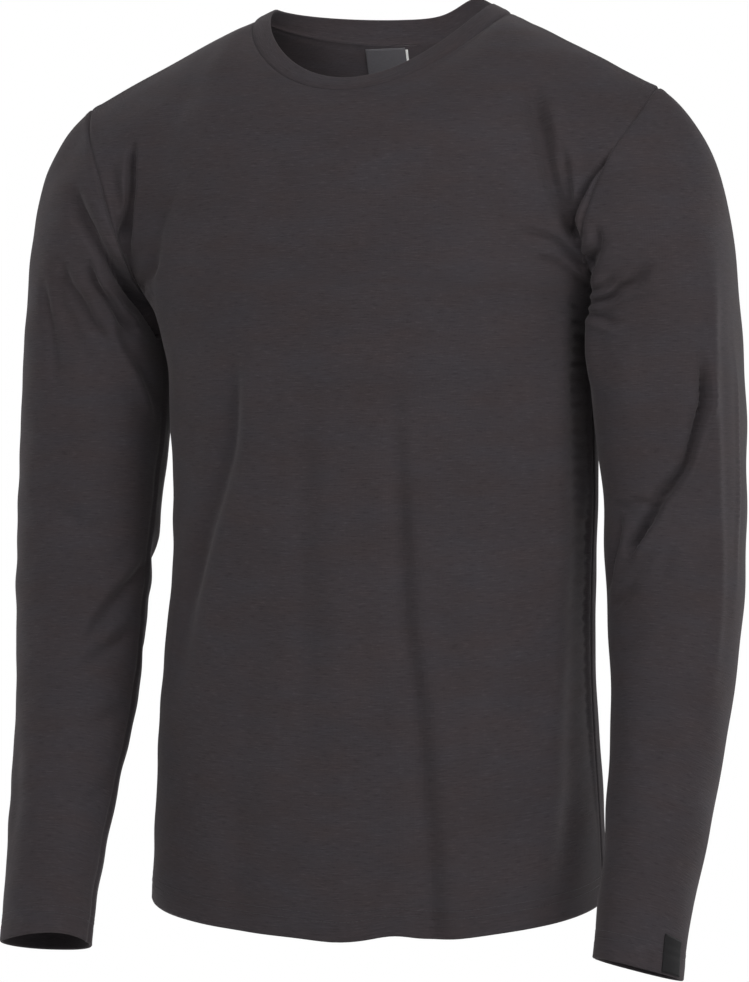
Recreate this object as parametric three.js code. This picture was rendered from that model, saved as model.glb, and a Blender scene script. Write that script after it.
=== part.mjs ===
import * as THREE from 'three';

// Base layer top: a long-sleeved crew-neck knit top, held in the shape of being worn.
// Millimetres, +Z up, front towards -Y, the wearer's left towards +X.
// The origin is the middle of the neck opening at the height of the high shoulder points.

const CLOTH_WALL = 1.2;
const BAND_WALL = 1.8;
const LABEL_WALL = 1;
const SEAM_GAP = 0.6;
const LABEL_GAP = 0.35;

// Where the cloth turns sharply its wall may thicken this much, and a seam's pull is kept finite.
const MITER_LIMIT = 1.3;
const LEAST_LEAN = 0.3;

// How many strips each piece is divided into.
const NECK_STRIPS = 16;
const SHOULDER_STRIPS = 5;
const TORSO_ROWS = 16;
const YOKE_ROWS = 12;
const CAP_ROWS = 7;
const SLEEVE_ROWS = 17;
const BAND_ROWS = 2;
const NECK_SHARE = 0.5;

// Torso rings from the armholes down to the hem. half is across, front and back are depths.
const UNDERARM_Z = -218;
const HEM_Z = -706;
const HEM_SIDE_RISE = 22;
const HEM_CURVE = 1.3;
const TORSO = [
  { z: -190, half: 194, front: 118, back: 110, square: 2.4, lean: 0, shift: 0 },
  { z: -218, half: 183, front: 118, back: 109, square: 2.4, lean: 0, shift: 0 },
  { z: -250, half: 170, front: 117, back: 106, square: 2.4, lean: 1, shift: 1 },
  { z: -300, half: 168, front: 115, back: 101, square: 2.4, lean: 3, shift: 3 },
  { z: -380, half: 167, front: 110, back: 96, square: 2.4, lean: 5, shift: 5 },
  { z: -440, half: 167, front: 108, back: 95, square: 2.4, lean: 5, shift: 3 },
  { z: -500, half: 170, front: 109, back: 98, square: 2.4, lean: 2, shift: 0.5 },
  { z: -560, half: 173, front: 111, back: 103, square: 2.4, lean: 0, shift: 0.5 },
  { z: -620, half: 176.5, front: 112, back: 107, square: 2.4, lean: 0, shift: 1 },
  { z: -706, half: 180, front: 113, back: 110, square: 2.4, lean: 0, shift: 1 },
];

// The neck seam and the top of the neckband.
const NECK_TILT = 0.02;
const NECK_SEAM = {
  half: 103, front: 88, back: 68, sideY: 16, sideZ: -2, frontZ: -71, backZ: -18,
};
const BAND_TOP = {
  half: 88, front: 78, back: 66, sideY: 17, sideZ: 6, frontZ: -60, backZ: 2,
};
const NECK_CURVE = 1.5;

// The armhole, by degrees from the shoulder tip round the front to the underarm and the back.
const ARMHOLE = [
  { at: 0, x: 228, y: -22, z: -70 },
  { at: 35, x: 220, y: -52, z: -93 },
  { at: 70, x: 203, y: -76, z: -125 },
  { at: 110, x: 184, y: -80, z: -178 },
  { at: 145, x: 182, y: -50, z: -209 },
  { at: 180, x: 183, y: -4, z: -218 },
  { at: 215, x: 182, y: 36, z: -206 },
  { at: 250, x: 185, y: 54, z: -170 },
  { at: 285, x: 196, y: 48, z: -128 },
  { at: 320, x: 216, y: 20, z: -92 },
];

// How steeply the panels meet the shoulder and the neck, in degrees above level.
const SHOULDER_BOW = 1;
const SHOULDER_SLOPE = 6;
const NECK_SLOPE = { front: 52, back: 62 };
const NECK_SLOPE_FADE = 1.2;

// How far the panels keep their direction from the underarm level and into the top seams.
const YOKE_START = 0.42;
const YOKE_END = 0.36;
const EDGE_FROM = 0.35;

// Sleeve rings below the cap: out and inn are half widths, deep is front to back, angles in degrees.
const SLEEVE_LEFT = [
  { z: -255, x: 228, y: -5, out: 57, inn: 53, deep: 62, pitch: 0, roll: 0, square: 2.8 },
  { z: -300, x: 231.5, y: -5, out: 57, inn: 56, deep: 60, pitch: 0, roll: 0, square: 2.7 },
  { z: -379, x: 237, y: -4, out: 53, inn: 53, deep: 56, pitch: 3, roll: 1, square: 2.4 },
  { z: -456, x: 238, y: -11, out: 51, inn: 51, deep: 51, pitch: 8, roll: 3, square: 2.2 },
  { z: -534, x: 238, y: -25, out: 45, inn: 45, deep: 46, pitch: 15, roll: 5, square: 2.1 },
  { z: -611, x: 236, y: -56, out: 38.5, inn: 38.5, deep: 40, pitch: 22, roll: 8, square: 2 },
  { z: -690, x: 232, y: -90, out: 33.5, inn: 33.5, deep: 34, pitch: 23, roll: 10, square: 2 },
  { z: -719, x: 231, y: -101, out: 33, inn: 33, deep: 32, pitch: 14, roll: 11, square: 2 },
];
const SLEEVE_RIGHT = [
  { z: -255, x: 227.5, y: -5, out: 57, inn: 52, deep: 62, pitch: 0, roll: 0, square: 2.8 },
  { z: -300, x: 231.5, y: -5, out: 57, inn: 57, deep: 60, pitch: 0, roll: 0, square: 2.7 },
  { z: -379, x: 239, y: -4, out: 55.5, inn: 55.5, deep: 54, pitch: 3, roll: 1, square: 2.4 },
  { z: -456, x: 242, y: -11, out: 53, inn: 53, deep: 49, pitch: 8, roll: 1, square: 2.2 },
  { z: -534, x: 241.5, y: -25, out: 48.5, inn: 48.5, deep: 44, pitch: 15, roll: 2, square: 2.1 },
  { z: -611, x: 240, y: -56, out: 42.5, inn: 42.5, deep: 38, pitch: 22, roll: 2, square: 2 },
  { z: -690, x: 236.5, y: -90, out: 36.5, inn: 36.5, deep: 33, pitch: 23, roll: 2, square: 2 },
  { z: -720, x: 235, y: -101, out: 35.5, inn: 35.5, deep: 31, pitch: 16, roll: 2, square: 2 },
];

// Which way the cloth leaves the armhole into the sleeve.
const CAP = [
  { towards: 'top', x: 0.83, y: 0, z: -0.56 },
  { towards: 'front', x: 0.72, y: -0.3, z: -0.62 },
  { towards: 'under', x: 0.85, y: 0, z: -0.5 },
  { towards: 'back', x: 0.75, y: 0.35, z: -0.55 },
];
const CAP_START = 0.34;
const CAP_END = 0.42;
const CAP_PROBE = 2;

// Folds on the panels, from (x0, z0) through (x1, z1) to (x2, z2). A negative depth is a ridge.
const FRONT_FOLDS = [
  { x0: -76, z0: -265, x1: -105, z1: -362, x2: -142, z2: -520, width: 15, depth: 5 },
  { x0: 44, z0: -290, x1: 56, z1: -490, x2: 64, z2: -706, width: 20, depth: 6 },
  { x0: 100, z0: -330, x1: 108, z1: -520, x2: 112, z2: -700, width: 22, depth: -3 },
  { x0: 146, z0: -80, x1: 160, z1: -145, x2: 176, z2: -192, width: 8, depth: 4 },
  { x0: -171, z0: -105, x1: -173, z1: -150, x2: -176, z2: -186, width: 9, depth: 4 },
  { x0: -128, z0: -125, x1: -150, z1: -178, x2: -166, z2: -230, width: 12, depth: 3 },
  { x0: 168, z0: -440, x1: 168, z1: -590, x2: 160, z2: -690, width: 16, depth: 4 },
];
const BACK_FOLDS = [
  { x0: 8, z0: -230, x1: -4, z1: -420, x2: 10, z2: -700, width: 24, depth: 6 },
  { x0: -92, z0: -300, x1: -104, z1: -480, x2: -84, z2: -690, width: 20, depth: 5 },
  { x0: 88, z0: -280, x1: 104, z1: -470, x2: 96, z2: -690, width: 20, depth: 5 },
  { x0: -122, z0: -110, x1: -146, z1: -170, x2: -160, z2: -232, width: 12, depth: 4 },
  { x0: 124, z0: -104, x1: 148, z1: -168, x2: 160, z2: -226, width: 12, depth: 4 },
];

// Folds on the sleeves, by degrees round the sleeve (turn) and height.
const LEFT_FOLDS = [
  { x0: 46, z0: -262, x1: 72, z1: -352, x2: 134, z2: -450, width: 11, depth: 6 },
  { x0: 78, z0: -418, x1: 108, z1: -448, x2: 150, z2: -466, width: 9, depth: 4 },
  { x0: 80, z0: -192, x1: 96, z1: -222, x2: 126, z2: -236, width: 9, depth: 3 },
  { x0: 190, z0: -420, x1: 226, z1: -446, x2: 262, z2: -450, width: 12, depth: 4 },
  { x0: 236, z0: -300, x1: 262, z1: -360, x2: 282, z2: -430, width: 14, depth: 4 },
];
const RIGHT_FOLDS = [
  { x0: 60, z0: -132, x1: 106, z1: -186, x2: 168, z2: -250, width: 9, depth: 4 },
  { x0: 92, z0: -186, x1: 114, z1: -216, x2: 150, z2: -252, width: 8, depth: 3 },
  { x0: 76, z0: -462, x1: 104, z1: -448, x2: 146, z2: -424, width: 10, depth: 4 },
  { x0: 190, z0: -416, x1: 224, z1: -440, x2: 266, z2: -452, width: 12, depth: 4 },
  { x0: 238, z0: -290, x1: 260, z1: -350, x2: 284, z2: -420, width: 14, depth: 4 },
];
const MM_PER_DEGREE = 0.9;
const FOLD_STEPS = 12;
const FOLD_TAPER = 0.3;
const FOLD_MARGIN = 2;

// Labels: across and down from the middle of the back neck seam, and round the left cuff.
const NECK_LABEL = { from: -31, to: 2, top: -21, drop: 34, steps: 4, lift: 2.6 };
const CARE_LABEL = { from: -22, to: 5, top: -21, drop: 16, steps: 3, lift: 1.1 };
const CUFF_LABEL = { turn: 30, wide: 18, top: -691, drop: 26, steps: 4 };
const LABEL_RISE = 0.9;
const SEARCH_STEPS = 40;
const SEARCH_RATE = 0.003;

const CLOTH = 0x3a363a;
const NECK_LABEL_COLOUR = 0x50565c;
const CARE_LABEL_COLOUR = 0xe4e4e2;
const CUFF_LABEL_COLOUR = 0x1c1c1e;
const CLOTH_ROUGHNESS = 0.9;

const QUARTER_TURN = Math.PI / 2;
const radians = (degrees) => THREE.MathUtils.degToRad(degrees);
const clamp01 = (value) => THREE.MathUtils.clamp(value, 0, 1);
const vec = (x, y, z) => new THREE.Vector3(x, y, z);
const power = (value, exponent) => Math.sign(value) * Math.abs(value) ** exponent;

// A smooth curve through the rows of a table, read at one height.
function columnAt(rows, name, key, at) {
  const slope = (i) => {
    const a = rows[Math.max(i - 1, 0)];
    const b = rows[Math.min(i + 1, rows.length - 1)];
    return (b[name] - a[name]) / (b[key] - a[key]);
  };
  const falling = rows[0][key] > rows[1][key] ? -1 : 1;
  const low = falling * rows[0][key];
  const high = falling * rows[rows.length - 1][key];
  const place = THREE.MathUtils.clamp(falling * at, low, high) * falling;
  let i = 0;
  while (i < rows.length - 2 && falling * rows[i + 1][key] <= falling * place) i += 1;
  const span = rows[i + 1][key] - rows[i][key];
  const t = (place - rows[i][key]) / span;
  const rest = 1 - t;
  return (1 + 2 * t) * rest * rest * rows[i][name] + t * rest * rest * span * slope(i)
    + t * t * (3 - 2 * t) * rows[i + 1][name] - t * t * rest * span * slope(i + 1);
}

// The armhole's rows with their neighbours a turn away, so that the curve closes on itself.
const ARMHOLE_LOOP = [-2, -1, ...ARMHOLE.keys(), ARMHOLE.length, ARMHOLE.length + 1].map((i) => {
  const turns = Math.floor(i / ARMHOLE.length);
  const row = ARMHOLE[i - turns * ARMHOLE.length];
  return { ...row, at: row.at + 360 * turns };
});

function armholePoint(turn) {
  const at = THREE.MathUtils.euclideanModulo(turn, 360);
  const read = (name) => columnAt(ARMHOLE_LOOP, name, 'at', at);
  return vec(read('x'), read('y'), read('z'));
}

function torsoPoint(u, z, facing) {
  const angle = u * QUARTER_TURN;
  const read = (name) => columnAt(TORSO, name, 'z', z);
  const exponent = 2 / read('square');
  const depth = facing < 0 ? read('front') : read('back');
  const x = read('shift') + read('half') * power(Math.sin(angle), exponent);
  const y = read('lean') + facing * depth * Math.abs(Math.cos(angle)) ** exponent;
  return vec(x, y, z);
}

// A point of the neck seam or band edge: turn 0 is the front, 90 the wearer's left.
function neckPoint(edge, turn) {
  const ahead = Math.cos(radians(turn));
  const across = Math.sin(radians(turn));
  const depth = ahead > 0 ? edge.front + edge.sideY : edge.back - edge.sideY;
  const rise = ahead > 0 ? edge.frontZ - edge.sideZ : edge.backZ - edge.sideZ;
  const x = edge.half * across;
  const z = edge.sideZ + rise * Math.abs(ahead) ** NECK_CURVE - NECK_TILT * x;
  return vec(x, edge.sideY - depth * ahead, z);
}

// The top edge of a panel: shoulder seam, neck seam, shoulder seam.
function panelTop(u, facing) {
  const across = Math.abs(u);
  const side = Math.sign(u) || 1;
  if (across <= NECK_SHARE) {
    const turn = 90 * u / NECK_SHARE;
    return neckPoint(NECK_SEAM, facing < 0 ? turn : 180 - turn);
  }
  const along = (across - NECK_SHARE) / (1 - NECK_SHARE);
  const start = neckPoint(NECK_SEAM, 90 * side);
  const tip = armholePoint(0);
  const point = start.lerp(vec(side * tip.x, tip.y, tip.z), along);
  point.z += SHOULDER_BOW * 4 * along * (1 - along);
  return point;
}

function bezier(a, b, c, d, t) {
  const r = 1 - t;
  return vec(0, 0, 0)
    .addScaledVector(a, r * r * r)
    .addScaledVector(b, 3 * r * r * t)
    .addScaledVector(c, 3 * r * t * t)
    .addScaledVector(d, t * t * t);
}

// A panel column from the underarm level up to its top edge.
function yokePoint(u, s, facing) {
  const base = torsoPoint(u, UNDERARM_Z, facing);
  const up = torsoPoint(u, UNDERARM_Z + 1, facing).sub(base).normalize();
  const top = panelTop(u, facing);
  const nearness = Math.cos(clamp01(Math.abs(u) / NECK_SHARE) * QUARTER_TURN) ** NECK_SLOPE_FADE;
  const steep = facing < 0 ? NECK_SLOPE.front : NECK_SLOPE.back;
  const slope = radians(SHOULDER_SLOPE + (steep - SHOULDER_SLOPE) * nearness);
  const arriving = vec(0, -facing * Math.cos(slope), Math.sin(slope));
  const reach = top.distanceTo(base);
  const first = base.clone().addScaledVector(up, reach * YOKE_START);
  const second = top.clone().addScaledVector(arriving, -reach * YOKE_END);
  return bezier(base, first, second, top, s);
}

const PANEL_COLUMNS = [];
for (let i = SHOULDER_STRIPS; i > 0; i -= 1) {
  PANEL_COLUMNS.push(-NECK_SHARE - (1 - NECK_SHARE) * i / SHOULDER_STRIPS);
}
for (let i = 0; i <= NECK_STRIPS; i += 1) {
  PANEL_COLUMNS.push(NECK_SHARE * (2 * i / NECK_STRIPS - 1));
}
for (let i = 1; i <= SHOULDER_STRIPS; i += 1) {
  PANEL_COLUMNS.push(NECK_SHARE + (1 - NECK_SHARE) * i / SHOULDER_STRIPS);
}

// The rows of a panel from the hem up; the sides of the upper rows follow the armholes.
function panelGrid(facing) {
  const rows = [];
  for (let j = 0; j < TORSO_ROWS; j += 1) {
    rows.push(PANEL_COLUMNS.map((u) => {
      const hem = HEM_Z + HEM_SIDE_RISE * Math.abs(u) ** HEM_CURVE;
      return torsoPoint(u, hem + (UNDERARM_Z - hem) * j / TORSO_ROWS, facing);
    }));
  }
  for (let j = 0; j <= YOKE_ROWS; j += 1) {
    const s = j / YOKE_ROWS;
    const row = PANEL_COLUMNS.map((u) => yokePoint(u, s, facing));
    const seam = armholePoint(180 + facing * 180 * s);
    const ends = [row[0].clone(), row[row.length - 1].clone()];
    row.forEach((point, i) => {
      const u = PANEL_COLUMNS[i];
      const pull = clamp01((Math.abs(u) - EDGE_FROM) / (1 - EDGE_FROM)) ** 2;
      const end = u < 0 ? ends[0] : ends[1];
      const target = vec(Math.sign(u) * seam.x, seam.y, seam.z);
      point.addScaledVector(target.sub(end), pull);
    });
    rows.push(row);
  }
  return rows;
}

function sleevePoint(table, turn, z) {
  const read = (name) => columnAt(table, name, 'z', z);
  const pitch = radians(read('pitch'));
  const roll = radians(read('roll'));
  const exponent = 2 / read('square');
  const ahead = power(Math.sin(radians(turn)), exponent) * read('deep');
  const cosine = Math.cos(radians(turn));
  const across = power(cosine, exponent) * (cosine > 0 ? read('out') : read('inn'));
  return vec(
    read('x') + across * Math.cos(roll),
    read('y') - ahead * Math.cos(pitch),
    z - across * Math.sin(roll) + ahead * Math.sin(pitch),
  );
}

function capPoint(table, turn, t) {
  const start = armholePoint(turn);
  const top = table[0].z;
  const end = sleevePoint(table, turn, top);
  const down = sleevePoint(table, turn, top - CAP_PROBE).sub(end).normalize();
  const cosine = Math.cos(radians(turn));
  const sine = Math.sin(radians(turn));
  const shares = {
    top: Math.max(cosine, 0) ** 2,
    front: Math.max(sine, 0) ** 2,
    under: Math.max(-cosine, 0) ** 2,
    back: Math.max(-sine, 0) ** 2,
  };
  const leaving = vec(0, 0, 0);
  CAP.forEach((row) => leaving.addScaledVector(vec(row.x, row.y, row.z), shares[row.towards]));
  leaving.normalize();
  const reach = end.distanceTo(start);
  const first = start.clone().addScaledVector(leaving, reach * CAP_START);
  const second = end.clone().addScaledVector(down, -reach * CAP_END);
  return bezier(start, first, second, end, t);
}

const SLEEVE_STRIPS = 2 * YOKE_ROWS;

// The rows of a sleeve from the armhole down. The wearer's right sleeve is turned over in X.
function sleeveGrid(table, side) {
  const rows = [];
  const turns = Array.from({ length: SLEEVE_STRIPS }, (_, i) => 360 * i / SLEEVE_STRIPS);
  for (let j = 0; j < CAP_ROWS; j += 1) {
    rows.push(turns.map((turn) => capPoint(table, turn, j / CAP_ROWS)));
  }
  const top = table[0].z;
  const cuff = table[table.length - 1].z;
  for (let j = 0; j <= SLEEVE_ROWS; j += 1) {
    rows.push(turns.map((turn) => sleevePoint(table, turn, top + (cuff - top) * j / SLEEVE_ROWS)));
  }
  rows.forEach((row) => row.forEach((point) => point.setX(side * point.x)));
  return rows;
}

function bandGrid() {
  const rows = [];
  for (let j = 0; j <= BAND_ROWS; j += 1) {
    rows.push(Array.from({ length: 2 * NECK_STRIPS }, (_, i) => {
      const turn = 180 * i / NECK_STRIPS;
      return neckPoint(NECK_SEAM, turn).lerp(neckPoint(BAND_TOP, turn), j / BAND_ROWS);
    }));
  }
  return rows;
}

// How deep the folds are at one place.
function foldDepth(folds, across, height, scale) {
  let depth = 0;
  folds.forEach((fold) => {
    const middleX = 2 * fold.x1 - (fold.x0 + fold.x2) / 2;
    const middleZ = 2 * fold.z1 - (fold.z0 + fold.z2) / 2;
    let nearest = Infinity;
    let along = 0;
    for (let i = 0; i <= FOLD_STEPS; i += 1) {
      const t = i / FOLD_STEPS;
      const r = 1 - t;
      const x = r * r * fold.x0 + 2 * r * t * middleX + t * t * fold.x2;
      const z = r * r * fold.z0 + 2 * r * t * middleZ + t * t * fold.z2;
      const away = Math.hypot((x - across) * scale, z - height);
      if (away < nearest) {
        nearest = away;
        along = t;
      }
    }
    const ends = clamp01(along / FOLD_TAPER) * clamp01((1 - along) / FOLD_TAPER);
    const open = fold.z2 < HEM_Z + HEM_SIDE_RISE ? clamp01(along / FOLD_TAPER) : ends;
    depth += fold.depth * Math.exp(-((nearest / fold.width) ** 2)) * open;
  });
  return depth;
}

// A piece is its grid with what it needs to become a shell.
function piece(name, rows, options) {
  return { name, rows, closed: false, wall: CLOTH_WALL, colour: CLOTH, trim: [], ...options };
}

const at = (rows, j, i) => rows[j][(i + rows[j].length) % rows[j].length];

// Points nearer than a hundredth of a millimetre are one place.
const PLACES_PER_MM = 100;
const rounded = (value) => Math.round(value * PLACES_PER_MM);
const seamKey = (point) => [point.x, point.y, point.z].map(rounded).join(',');

// Outward normals by place. Pieces that meet at a seam share the direction halfway between them.

function sharedNormals(pieces) {
  const sums = new Map();
  pieces.forEach(({ name, rows, closed, flip }) => {
    const columns = rows[0].length - (closed ? 0 : 1);
    for (let j = 0; j < rows.length - 1; j += 1) {
      for (let i = 0; i < columns; i += 1) {
        const corners = [[j, i], [j, i + 1], [j + 1, i + 1], [j + 1, i]].map(
          ([row, column]) => at(rows, row, column),
        );
        const normal = vec(0, 0, 0).crossVectors(
          corners[2].clone().sub(corners[0]),
          corners[3].clone().sub(corners[1]),
        );
        if (flip) normal.negate();
        corners.forEach((corner) => {
          const key = seamKey(corner);
          if (!sums.has(key)) sums.set(key, {});
          const own = sums.get(key);
          own[name] = (own[name] ?? vec(0, 0, 0)).add(normal);
        });
      }
    }
  });
  const shared = new Map();
  sums.forEach((own, key) => {
    const ways = Object.values(own).map((way) => way.normalize());
    const normal = ways.reduce((total, way) => total.add(way), vec(0, 0, 0)).normalize();
    // The lean is 1 where the cloth is flat and falls towards 0 at a sharp fold.
    const lean = Math.min(...ways.map((way) => way.dot(normal)));
    shared.set(key, { normal, lean: Math.max(lean, LEAST_LEAN) });
  });
  return shared;
}

// Press the folds in, fading out towards the seams so that the pieces still meet.
function pressFolds(shape, normals, scale, place) {
  const { rows, closed, openRows } = shape;
  return rows.map((row, j) => row.map((point, i) => {
    const fromTop = openRows.top ? FOLD_MARGIN : rows.length - 1 - j;
    const fromFoot = openRows.foot ? FOLD_MARGIN : j;
    const fromSide = closed ? FOLD_MARGIN : Math.min(i, row.length - 1 - i);
    const free = clamp01(Math.min(fromTop, fromFoot, fromSide) / FOLD_MARGIN);
    if (free === 0) return point;
    const spot = place(point, i);
    const depth = foldDepth(shape.folds, spot, point.z, scale);
    return point.clone().addScaledVector(normals.get(seamKey(point)).normal, -depth * free);
  }));
}

// How far each point is drawn back along the cloth, so that half a gap is left at its seams.
function seamPulls(shape, leans) {
  const { rows, closed, flip, trim } = shape;
  const own = sharedNormals([shape]);
  const last = rows.length - 1;
  const end = rows[0].length - 1;
  const pulls = rows.map((row) => row.map(() => vec(0, 0, 0)));
  const draw = (j, i, before, after, sign) => {
    const along = after.clone().sub(before).normalize();
    const { normal } = own.get(seamKey(rows[j][i]));
    const way = along.cross(normal).normalize().multiplyScalar(flip ? -sign : sign);
    pulls[j][i].addScaledVector(way, SEAM_GAP / 2 / leans[j][i]);
  };
  const beside = (j, i) => at(rows, j, closed ? i : THREE.MathUtils.clamp(i, 0, end));
  rows[0].forEach((_, i) => {
    if (trim.includes('first')) draw(0, i, beside(0, i - 1), beside(0, i + 1), -1);
    if (trim.includes('last')) draw(last, i, beside(last, i - 1), beside(last, i + 1), 1);
  });
  if (trim.includes('sides')) {
    rows.forEach((_, j) => {
      const below = rows[Math.max(j - 1, 0)];
      const above = rows[Math.min(j + 1, last)];
      draw(j, 0, below[0], above[0], 1);
      draw(j, end, below[end], above[end], -1);
    });
  }
  return pulls;
}

// A closed shell between an outer and an inner grid.
function shellMesh(shape, outer, inner) {
  const { name, closed, flip, colour } = shape;
  const width = outer[0].length;
  const height = outer.length;
  const positions = [...outer.flat(), ...inner.flat()].flatMap((p) => [p.x, p.y, p.z]);
  const out = (j, i) => j * width + (i % width);
  const inn = (j, i) => width * height + out(j, i);
  const indices = [];
  const face = (a, b, c) => (flip ? indices.push(a, c, b) : indices.push(a, b, c));
  const quad = (a, b, c, d) => {
    face(a, b, c);
    face(a, c, d);
  };
  const columns = closed ? width : width - 1;
  // Each cell is split along its shorter diagonal, the same way on both sides of the wall.
  for (let j = 0; j < height - 1; j += 1) {
    for (let i = 0; i < columns; i += 1) {
      const corners = [[j, i], [j, i + 1], [j + 1, i + 1], [j + 1, i]];
      const spots = corners.map(([row, column]) => at(outer, row, column));
      const turned = spots[0].distanceTo(spots[2]) > spots[1].distanceTo(spots[3]) ? 1 : 0;
      const [a, b, c, d] = [0, 1, 2, 3].map((k) => corners[(k + turned) % 4]);
      quad(out(...a), out(...b), out(...c), out(...d));
      face(inn(...a), inn(...c), inn(...b));
      face(inn(...a), inn(...d), inn(...c));
    }
  }
  const top = height - 1;
  for (let i = 0; i < columns; i += 1) {
    quad(inn(0, i), inn(0, i + 1), out(0, i + 1), out(0, i));
    quad(out(top, i), out(top, i + 1), inn(top, i + 1), inn(top, i));
  }
  if (!closed) {
    const end = width - 1;
    for (let j = 0; j < top; j += 1) {
      quad(inn(j, 0), out(j, 0), out(j + 1, 0), inn(j + 1, 0));
      quad(out(j, end), inn(j, end), inn(j + 1, end), out(j + 1, end));
    }
  }
  const geometry = new THREE.BufferGeometry();
  geometry.setAttribute('position', new THREE.Float32BufferAttribute(positions, 3));
  geometry.setIndex(indices);
  geometry.computeVertexNormals();
  const cloth = new THREE.MeshStandardMaterial({ color: colour, roughness: CLOTH_ROUGHNESS });
  const mesh = new THREE.Mesh(geometry, cloth);
  mesh.name = name;
  return mesh;
}

// Base forms first, then the folds, then the walls.
const forms = [
  piece('front', panelGrid(-1), {
    trim: ['last', 'sides'], openRows: { foot: true, top: false }, folds: FRONT_FOLDS,
  }),
  piece('back', panelGrid(1), {
    flip: true, trim: ['last', 'sides'], openRows: { foot: true, top: false }, folds: BACK_FOLDS,
  }),
  piece('sleeve_left', sleeveGrid(SLEEVE_LEFT, 1), {
    closed: true, trim: ['first'], openRows: { foot: false, top: true }, folds: LEFT_FOLDS,
  }),
  piece('sleeve_right', sleeveGrid(SLEEVE_RIGHT, -1), {
    closed: true, flip: true, trim: ['first'], openRows: { foot: false, top: true }, folds: RIGHT_FOLDS,
  }),
  piece('neckband', bandGrid(), { closed: true, wall: BAND_WALL, trim: ['first'] }),
];
const plain = sharedNormals(forms);
forms.filter((shape) => shape.folds).forEach((shape) => {
  const round = shape.closed;
  const place = round ? (_, i) => 360 * i / SLEEVE_STRIPS : (point) => point.x;
  shape.rows = pressFolds(shape, plain, round ? MM_PER_DEGREE : 1, place);
});
const folded = sharedNormals(forms);

const garment = new THREE.Group();
garment.name = 'base_layer_top';
forms.forEach((shape) => {
  const leans = shape.rows.map((row) => row.map((point) => folded.get(seamKey(point)).lean));
  const inner = shape.rows.map((row, j) => row.map((point, i) => {
    const thickness = shape.wall * Math.min(MITER_LIMIT, 1 / leans[j][i]);
    return point.clone().addScaledVector(folded.get(seamKey(point)).normal, -thickness);
  }));
  const pulls = seamPulls(shape, leans);
  const [outerWall, innerWall] = [shape.rows, inner].map(
    (rows) => rows.map((row, j) => row.map((point, i) => point.clone().add(pulls[j][i]))),
  );
  garment.add(shellMesh(shape, outerWall, innerWall));
});

// The place on the back panel at one x and z, with its inward direction there.
function placeOnBack(x, z) {
  let u = 0;
  let rise = LABEL_RISE;
  let point = yokePoint(u, rise, 1);
  for (let i = 0; i < SEARCH_STEPS; i += 1) {
    u += (x - point.x) * SEARCH_RATE;
    rise += (z - point.z) * SEARCH_RATE;
    point = yokePoint(u, rise, 1);
  }
  const across = yokePoint(u + SEARCH_RATE, rise, 1).sub(point);
  const up = yokePoint(u, rise + SEARCH_RATE, 1).sub(point);
  return { point, inward: vec(0, 0, 0).crossVectors(across, up).normalize() };
}

// A label hung inside the back of the neck, made from the panel's points moved inwards.
function hungLabel(name, label, colour) {
  const grids = [label.lift, label.lift + LABEL_WALL].map((lift) => {
    const rows = [];
    for (let j = 0; j <= label.steps; j += 1) {
      const z = label.top - label.drop * j / label.steps;
      const row = [];
      for (let i = 0; i <= label.steps; i += 1) {
        const x = label.from + (label.to - label.from) * i / label.steps;
        const { point, inward } = placeOnBack(x, z);
        row.push(point.addScaledVector(inward, CLOTH_WALL + lift));
      }
      rows.push(row);
    }
    return rows;
  });
  return shellMesh({ name, closed: false, flip: true, colour }, grids[1], grids[0]);
}

garment.add(hungLabel('care_label', CARE_LABEL, CARE_LABEL_COLOUR));
garment.add(hungLabel('neck_label', NECK_LABEL, NECK_LABEL_COLOUR));

// The woven label sewn flat on the outside of the left cuff.
function cuffLabel() {
  const spread = CUFF_LABEL.wide / MM_PER_DEGREE / 2;
  const grids = [LABEL_GAP, LABEL_GAP + LABEL_WALL].map((lift) => {
    const rows = [];
    for (let j = 0; j <= CUFF_LABEL.steps; j += 1) {
      const z = CUFF_LABEL.top - CUFF_LABEL.drop * j / CUFF_LABEL.steps;
      const row = [];
      for (let i = 0; i <= CUFF_LABEL.steps; i += 1) {
        const turn = CUFF_LABEL.turn + spread * (2 * i / CUFF_LABEL.steps - 1);
        const point = sleevePoint(SLEEVE_LEFT, turn, z);
        const across = sleevePoint(SLEEVE_LEFT, turn + 1, z).sub(point);
        const down = sleevePoint(SLEEVE_LEFT, turn, z - 1).sub(point);
        row.push(point.addScaledVector(vec(0, 0, 0).crossVectors(across, down).normalize(), lift));
      }
      rows.push(row);
    }
    return rows;
  });
  const shape = { name: 'cuff_label', closed: false, flip: false, colour: CUFF_LABEL_COLOUR };
  return shellMesh(shape, grids[1], grids[0]);
}

garment.add(cuffLabel());

export default garment;
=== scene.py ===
"""A long-sleeved crew-neck base layer top in fine knit, kept in the shape of being worn.

Front and back panels, two set-in sleeves, a folded neckband, a coverstitched hem and cuffs,
and bare labels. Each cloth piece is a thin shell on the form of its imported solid, with the
folds that show pressed in. The front faces -Y and the wearer's left is +X.
"""

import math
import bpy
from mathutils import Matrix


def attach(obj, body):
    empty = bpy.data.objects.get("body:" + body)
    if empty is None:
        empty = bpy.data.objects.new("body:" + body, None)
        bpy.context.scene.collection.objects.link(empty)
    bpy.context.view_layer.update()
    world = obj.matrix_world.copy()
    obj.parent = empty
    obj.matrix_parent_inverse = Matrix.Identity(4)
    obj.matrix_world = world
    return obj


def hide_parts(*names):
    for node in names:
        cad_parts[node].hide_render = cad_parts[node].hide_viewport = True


bl_info = {
    "name": "Base Layer Top",
    "version": (1, 0, 0),
    "blender": (4, 5, 0),
    "location": "View3D > Sidebar > Base Layer",
    "description": "Builds a long-sleeved base layer top with folds, seams, stitching and labels",
    "category": "Object",
}

import bpy
import numpy as np
from bpy.props import FloatProperty, FloatVectorProperty, PointerProperty
from mathutils import Vector

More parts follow.
